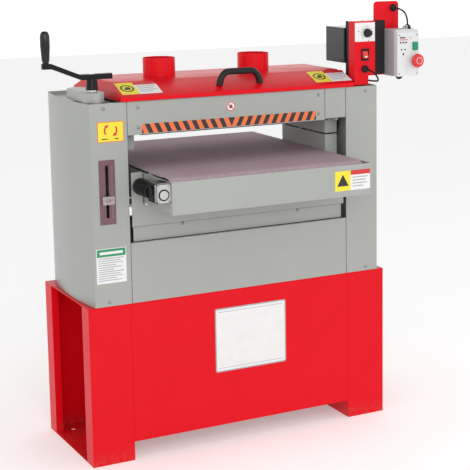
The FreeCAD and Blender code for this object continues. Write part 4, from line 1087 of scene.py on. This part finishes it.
    def dial_plate(self, film):
        """White plate behind the speed knob, with ticks round it."""
        x, z = 0.454, 1.263
        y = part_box("control_bracket")[0][1]
        place = facing_front(x, y, z)
        stem = 0.0045
        outline = [rectangle(-0.044, -0.027, -stem, 0.033), rectangle(stem, -0.027, 0.030, 0.033),
                   rectangle(-stem, -0.027, stem, -stem), rectangle(-stem, stem, stem, 0.033)]
        marks = []
        for step in range(11):
            angle = math.radians(225 - 27 * step)
            along = Vector((math.cos(angle), math.sin(angle)))
            side = Vector((-along.y, along.x)) * 0.0005
            near, far = along * 0.0175, along * (0.0225 if step % 5 else 0.0245)
            marks.append([tuple(near - side), tuple(far - side), tuple(far + side), tuple(near + side)])
        artwork("speed_dial_plate", place, [
            (print_white, 0, film, outline),
            (print_black, film, SECOND * film, marks),
            (print_red, film, SECOND * film,
             [disc(-0.031, 0.006, 0.0022, 12), disc(0.006, -0.0245, 0.0018, 12)]),
        ], "control_bracket")


class SANDER_OT_stage(bpy.types.Operator):
    """Pale floor, soft studio light and the camera"""
    bl_idname = "sander.stage"
    bl_label = "Stage"

    def execute(self, context):
        self.floor()
        self.lights()
        self.camera()
        return {"FINISHED"}

    def floor(self):
        paper = Finish("studio paper")
        fibre = paper.noise(60.0, 4.0)
        paper.feed(base_color=paper.mix(fibre, (0.93, 0.93, 0.93), (0.96, 0.96, 0.96)), roughness=0.9,
                   emission_color=paper.mix(fibre, (0.96, 0.96, 0.96), (1.0, 1.0, 1.0)))
        paper.shader.inputs["Emission Strength"].default_value = 0.28
        work = bmesh.new()
        bmesh.ops.create_grid(work, x_segments=8, y_segments=8, size=14.0)
        mesh = bpy.data.meshes.new("floor")
        work.to_mesh(mesh)
        work.free()
        ground = add_object("studio_floor", mesh)
        ground.data.materials.append(paper.material)
        world = bpy.data.worlds.new("studio")
        bpy.context.scene.world = world
        world.use_nodes = True
        nodes, links = world.node_tree.nodes, world.node_tree.links
        around = nodes.new("ShaderNodeTexCoord")
        split = nodes.new("ShaderNodeSeparateXYZ")
        fade = nodes.new("ShaderNodeMapRange")
        fade.interpolation_type = "SMOOTHSTEP"
        for name, value in (("From Min", 0.30), ("From Max", 0.80), ("To Min", 1.20), ("To Max", 0.40)):
            fade.inputs[name].default_value = value
        links.new(around.outputs["Generated"], split.inputs[0])
        links.new(split.outputs["Z"], fade.inputs["Value"])
        links.new(fade.outputs["Result"], nodes["Background"].inputs["Strength"])
        nodes["Background"].inputs["Color"].default_value = (1.0, 1.0, 1.0, 1.0)

    def lights(self):
        """Three large soft panels: key from the front left, fill from the right, one overhead."""
        for name, place, aim, size, power in (
                ("key", (-1.4, -4.4, 2.3), (0.0, 0.0, 0.8), 2.2, 48.0),
                ("fill", (3.4, -2.2, 2.2), (0.0, 0.0, 0.7), 2.6, 12.0),
                ("top", (0.2, -0.9, 3.8), (0.0, 0.0, 0.9), 2.4, 9.0)):
            lamp = bpy.data.lights.new(name, "AREA")
            lamp.shape = "SQUARE"
            lamp.size = size
            lamp.energy = power
            holder = bpy.data.objects.new(name + "_light", lamp)
            bpy.context.scene.collection.objects.link(holder)
            place = Vector(place)
            look = (Vector(aim) - place).to_track_quat("-Z", "Y")
            holder.matrix_world = Matrix.Translation(place) @ look.to_matrix().to_4x4()

    def camera(self):
        """A long lens at the operator's left, a little above the hood."""
        yaw, pitch, roll = math.radians(29.453), math.radians(9.377), math.radians(-0.357)
        ahead = Vector((math.sin(yaw) * math.cos(pitch), math.cos(yaw) * math.cos(pitch), -math.sin(pitch)))
        level = Vector((math.cos(yaw), -math.sin(yaw), 0.0))
        upright = level.cross(ahead)
        right = math.cos(roll) * level + math.sin(roll) * upright
        above = -math.sin(roll) * level + math.cos(roll) * upright
        turn = Matrix((right, above, -ahead)).transposed().to_4x4()
        eye = bpy.data.cameras.new("view")
        eye.sensor_width = 36.0
        eye.lens = 106.41
        eye.shift_x = -0.200
        eye.shift_y = -0.149
        eye.clip_end = 50.0
        holder = bpy.data.objects.new("view", eye)
        bpy.context.scene.collection.objects.link(holder)
        holder.matrix_world = Matrix.Translation((-1.8359, -3.9949, 1.5700)) @ turn
        bpy.context.scene.camera = holder
        bpy.context.scene.view_settings.view_transform = "Standard"


OPERATORS = (SANDER_OT_stand, SANDER_OT_columns, SANDER_OT_screws, SANDER_OT_drums, SANDER_OT_lift,
             SANDER_OT_conveyor, SANDER_OT_crank, SANDER_OT_hood, SANDER_OT_controls, SANDER_OT_cables,
             SANDER_OT_labels, SANDER_OT_stage)


class SANDER_PT_panel(bpy.types.Panel):
    """Lists the sander's pieces in the sidebar"""
    bl_label = "Drum Sander"
    bl_idname = "SANDER_PT_panel"
    bl_space_type = "VIEW_3D"
    bl_region_type = "UI"
    bl_category = "Drum Sander"

    def draw(self, context):
        column = self.layout.column()
        for group in (context.scene.sander_sizes, context.scene.sander_colours):
            for name in group.__annotations__:
                column.prop(group, name)
        for operator in OPERATORS:
            column.operator(operator.bl_idname)


CLASSES = (SanderSizes, SanderColours, *OPERATORS, SANDER_PT_panel)


def register():
    for kind in CLASSES:
        bpy.utils.register_class(kind)
    bpy.types.Scene.sander_sizes = bpy.props.PointerProperty(type=SanderSizes)
    bpy.types.Scene.sander_colours = bpy.props.PointerProperty(type=SanderColours)


def unregister():
    del bpy.types.Scene.sander_sizes
    del bpy.types.Scene.sander_colours
    for kind in reversed(CLASSES):
        bpy.utils.unregister_class(kind)


def main():
    register()
    for operator in OPERATORS:
        family, name = operator.bl_idname.split(".")
        getattr(getattr(bpy.ops, family), name)()


if __name__ == "__main__":
    main()
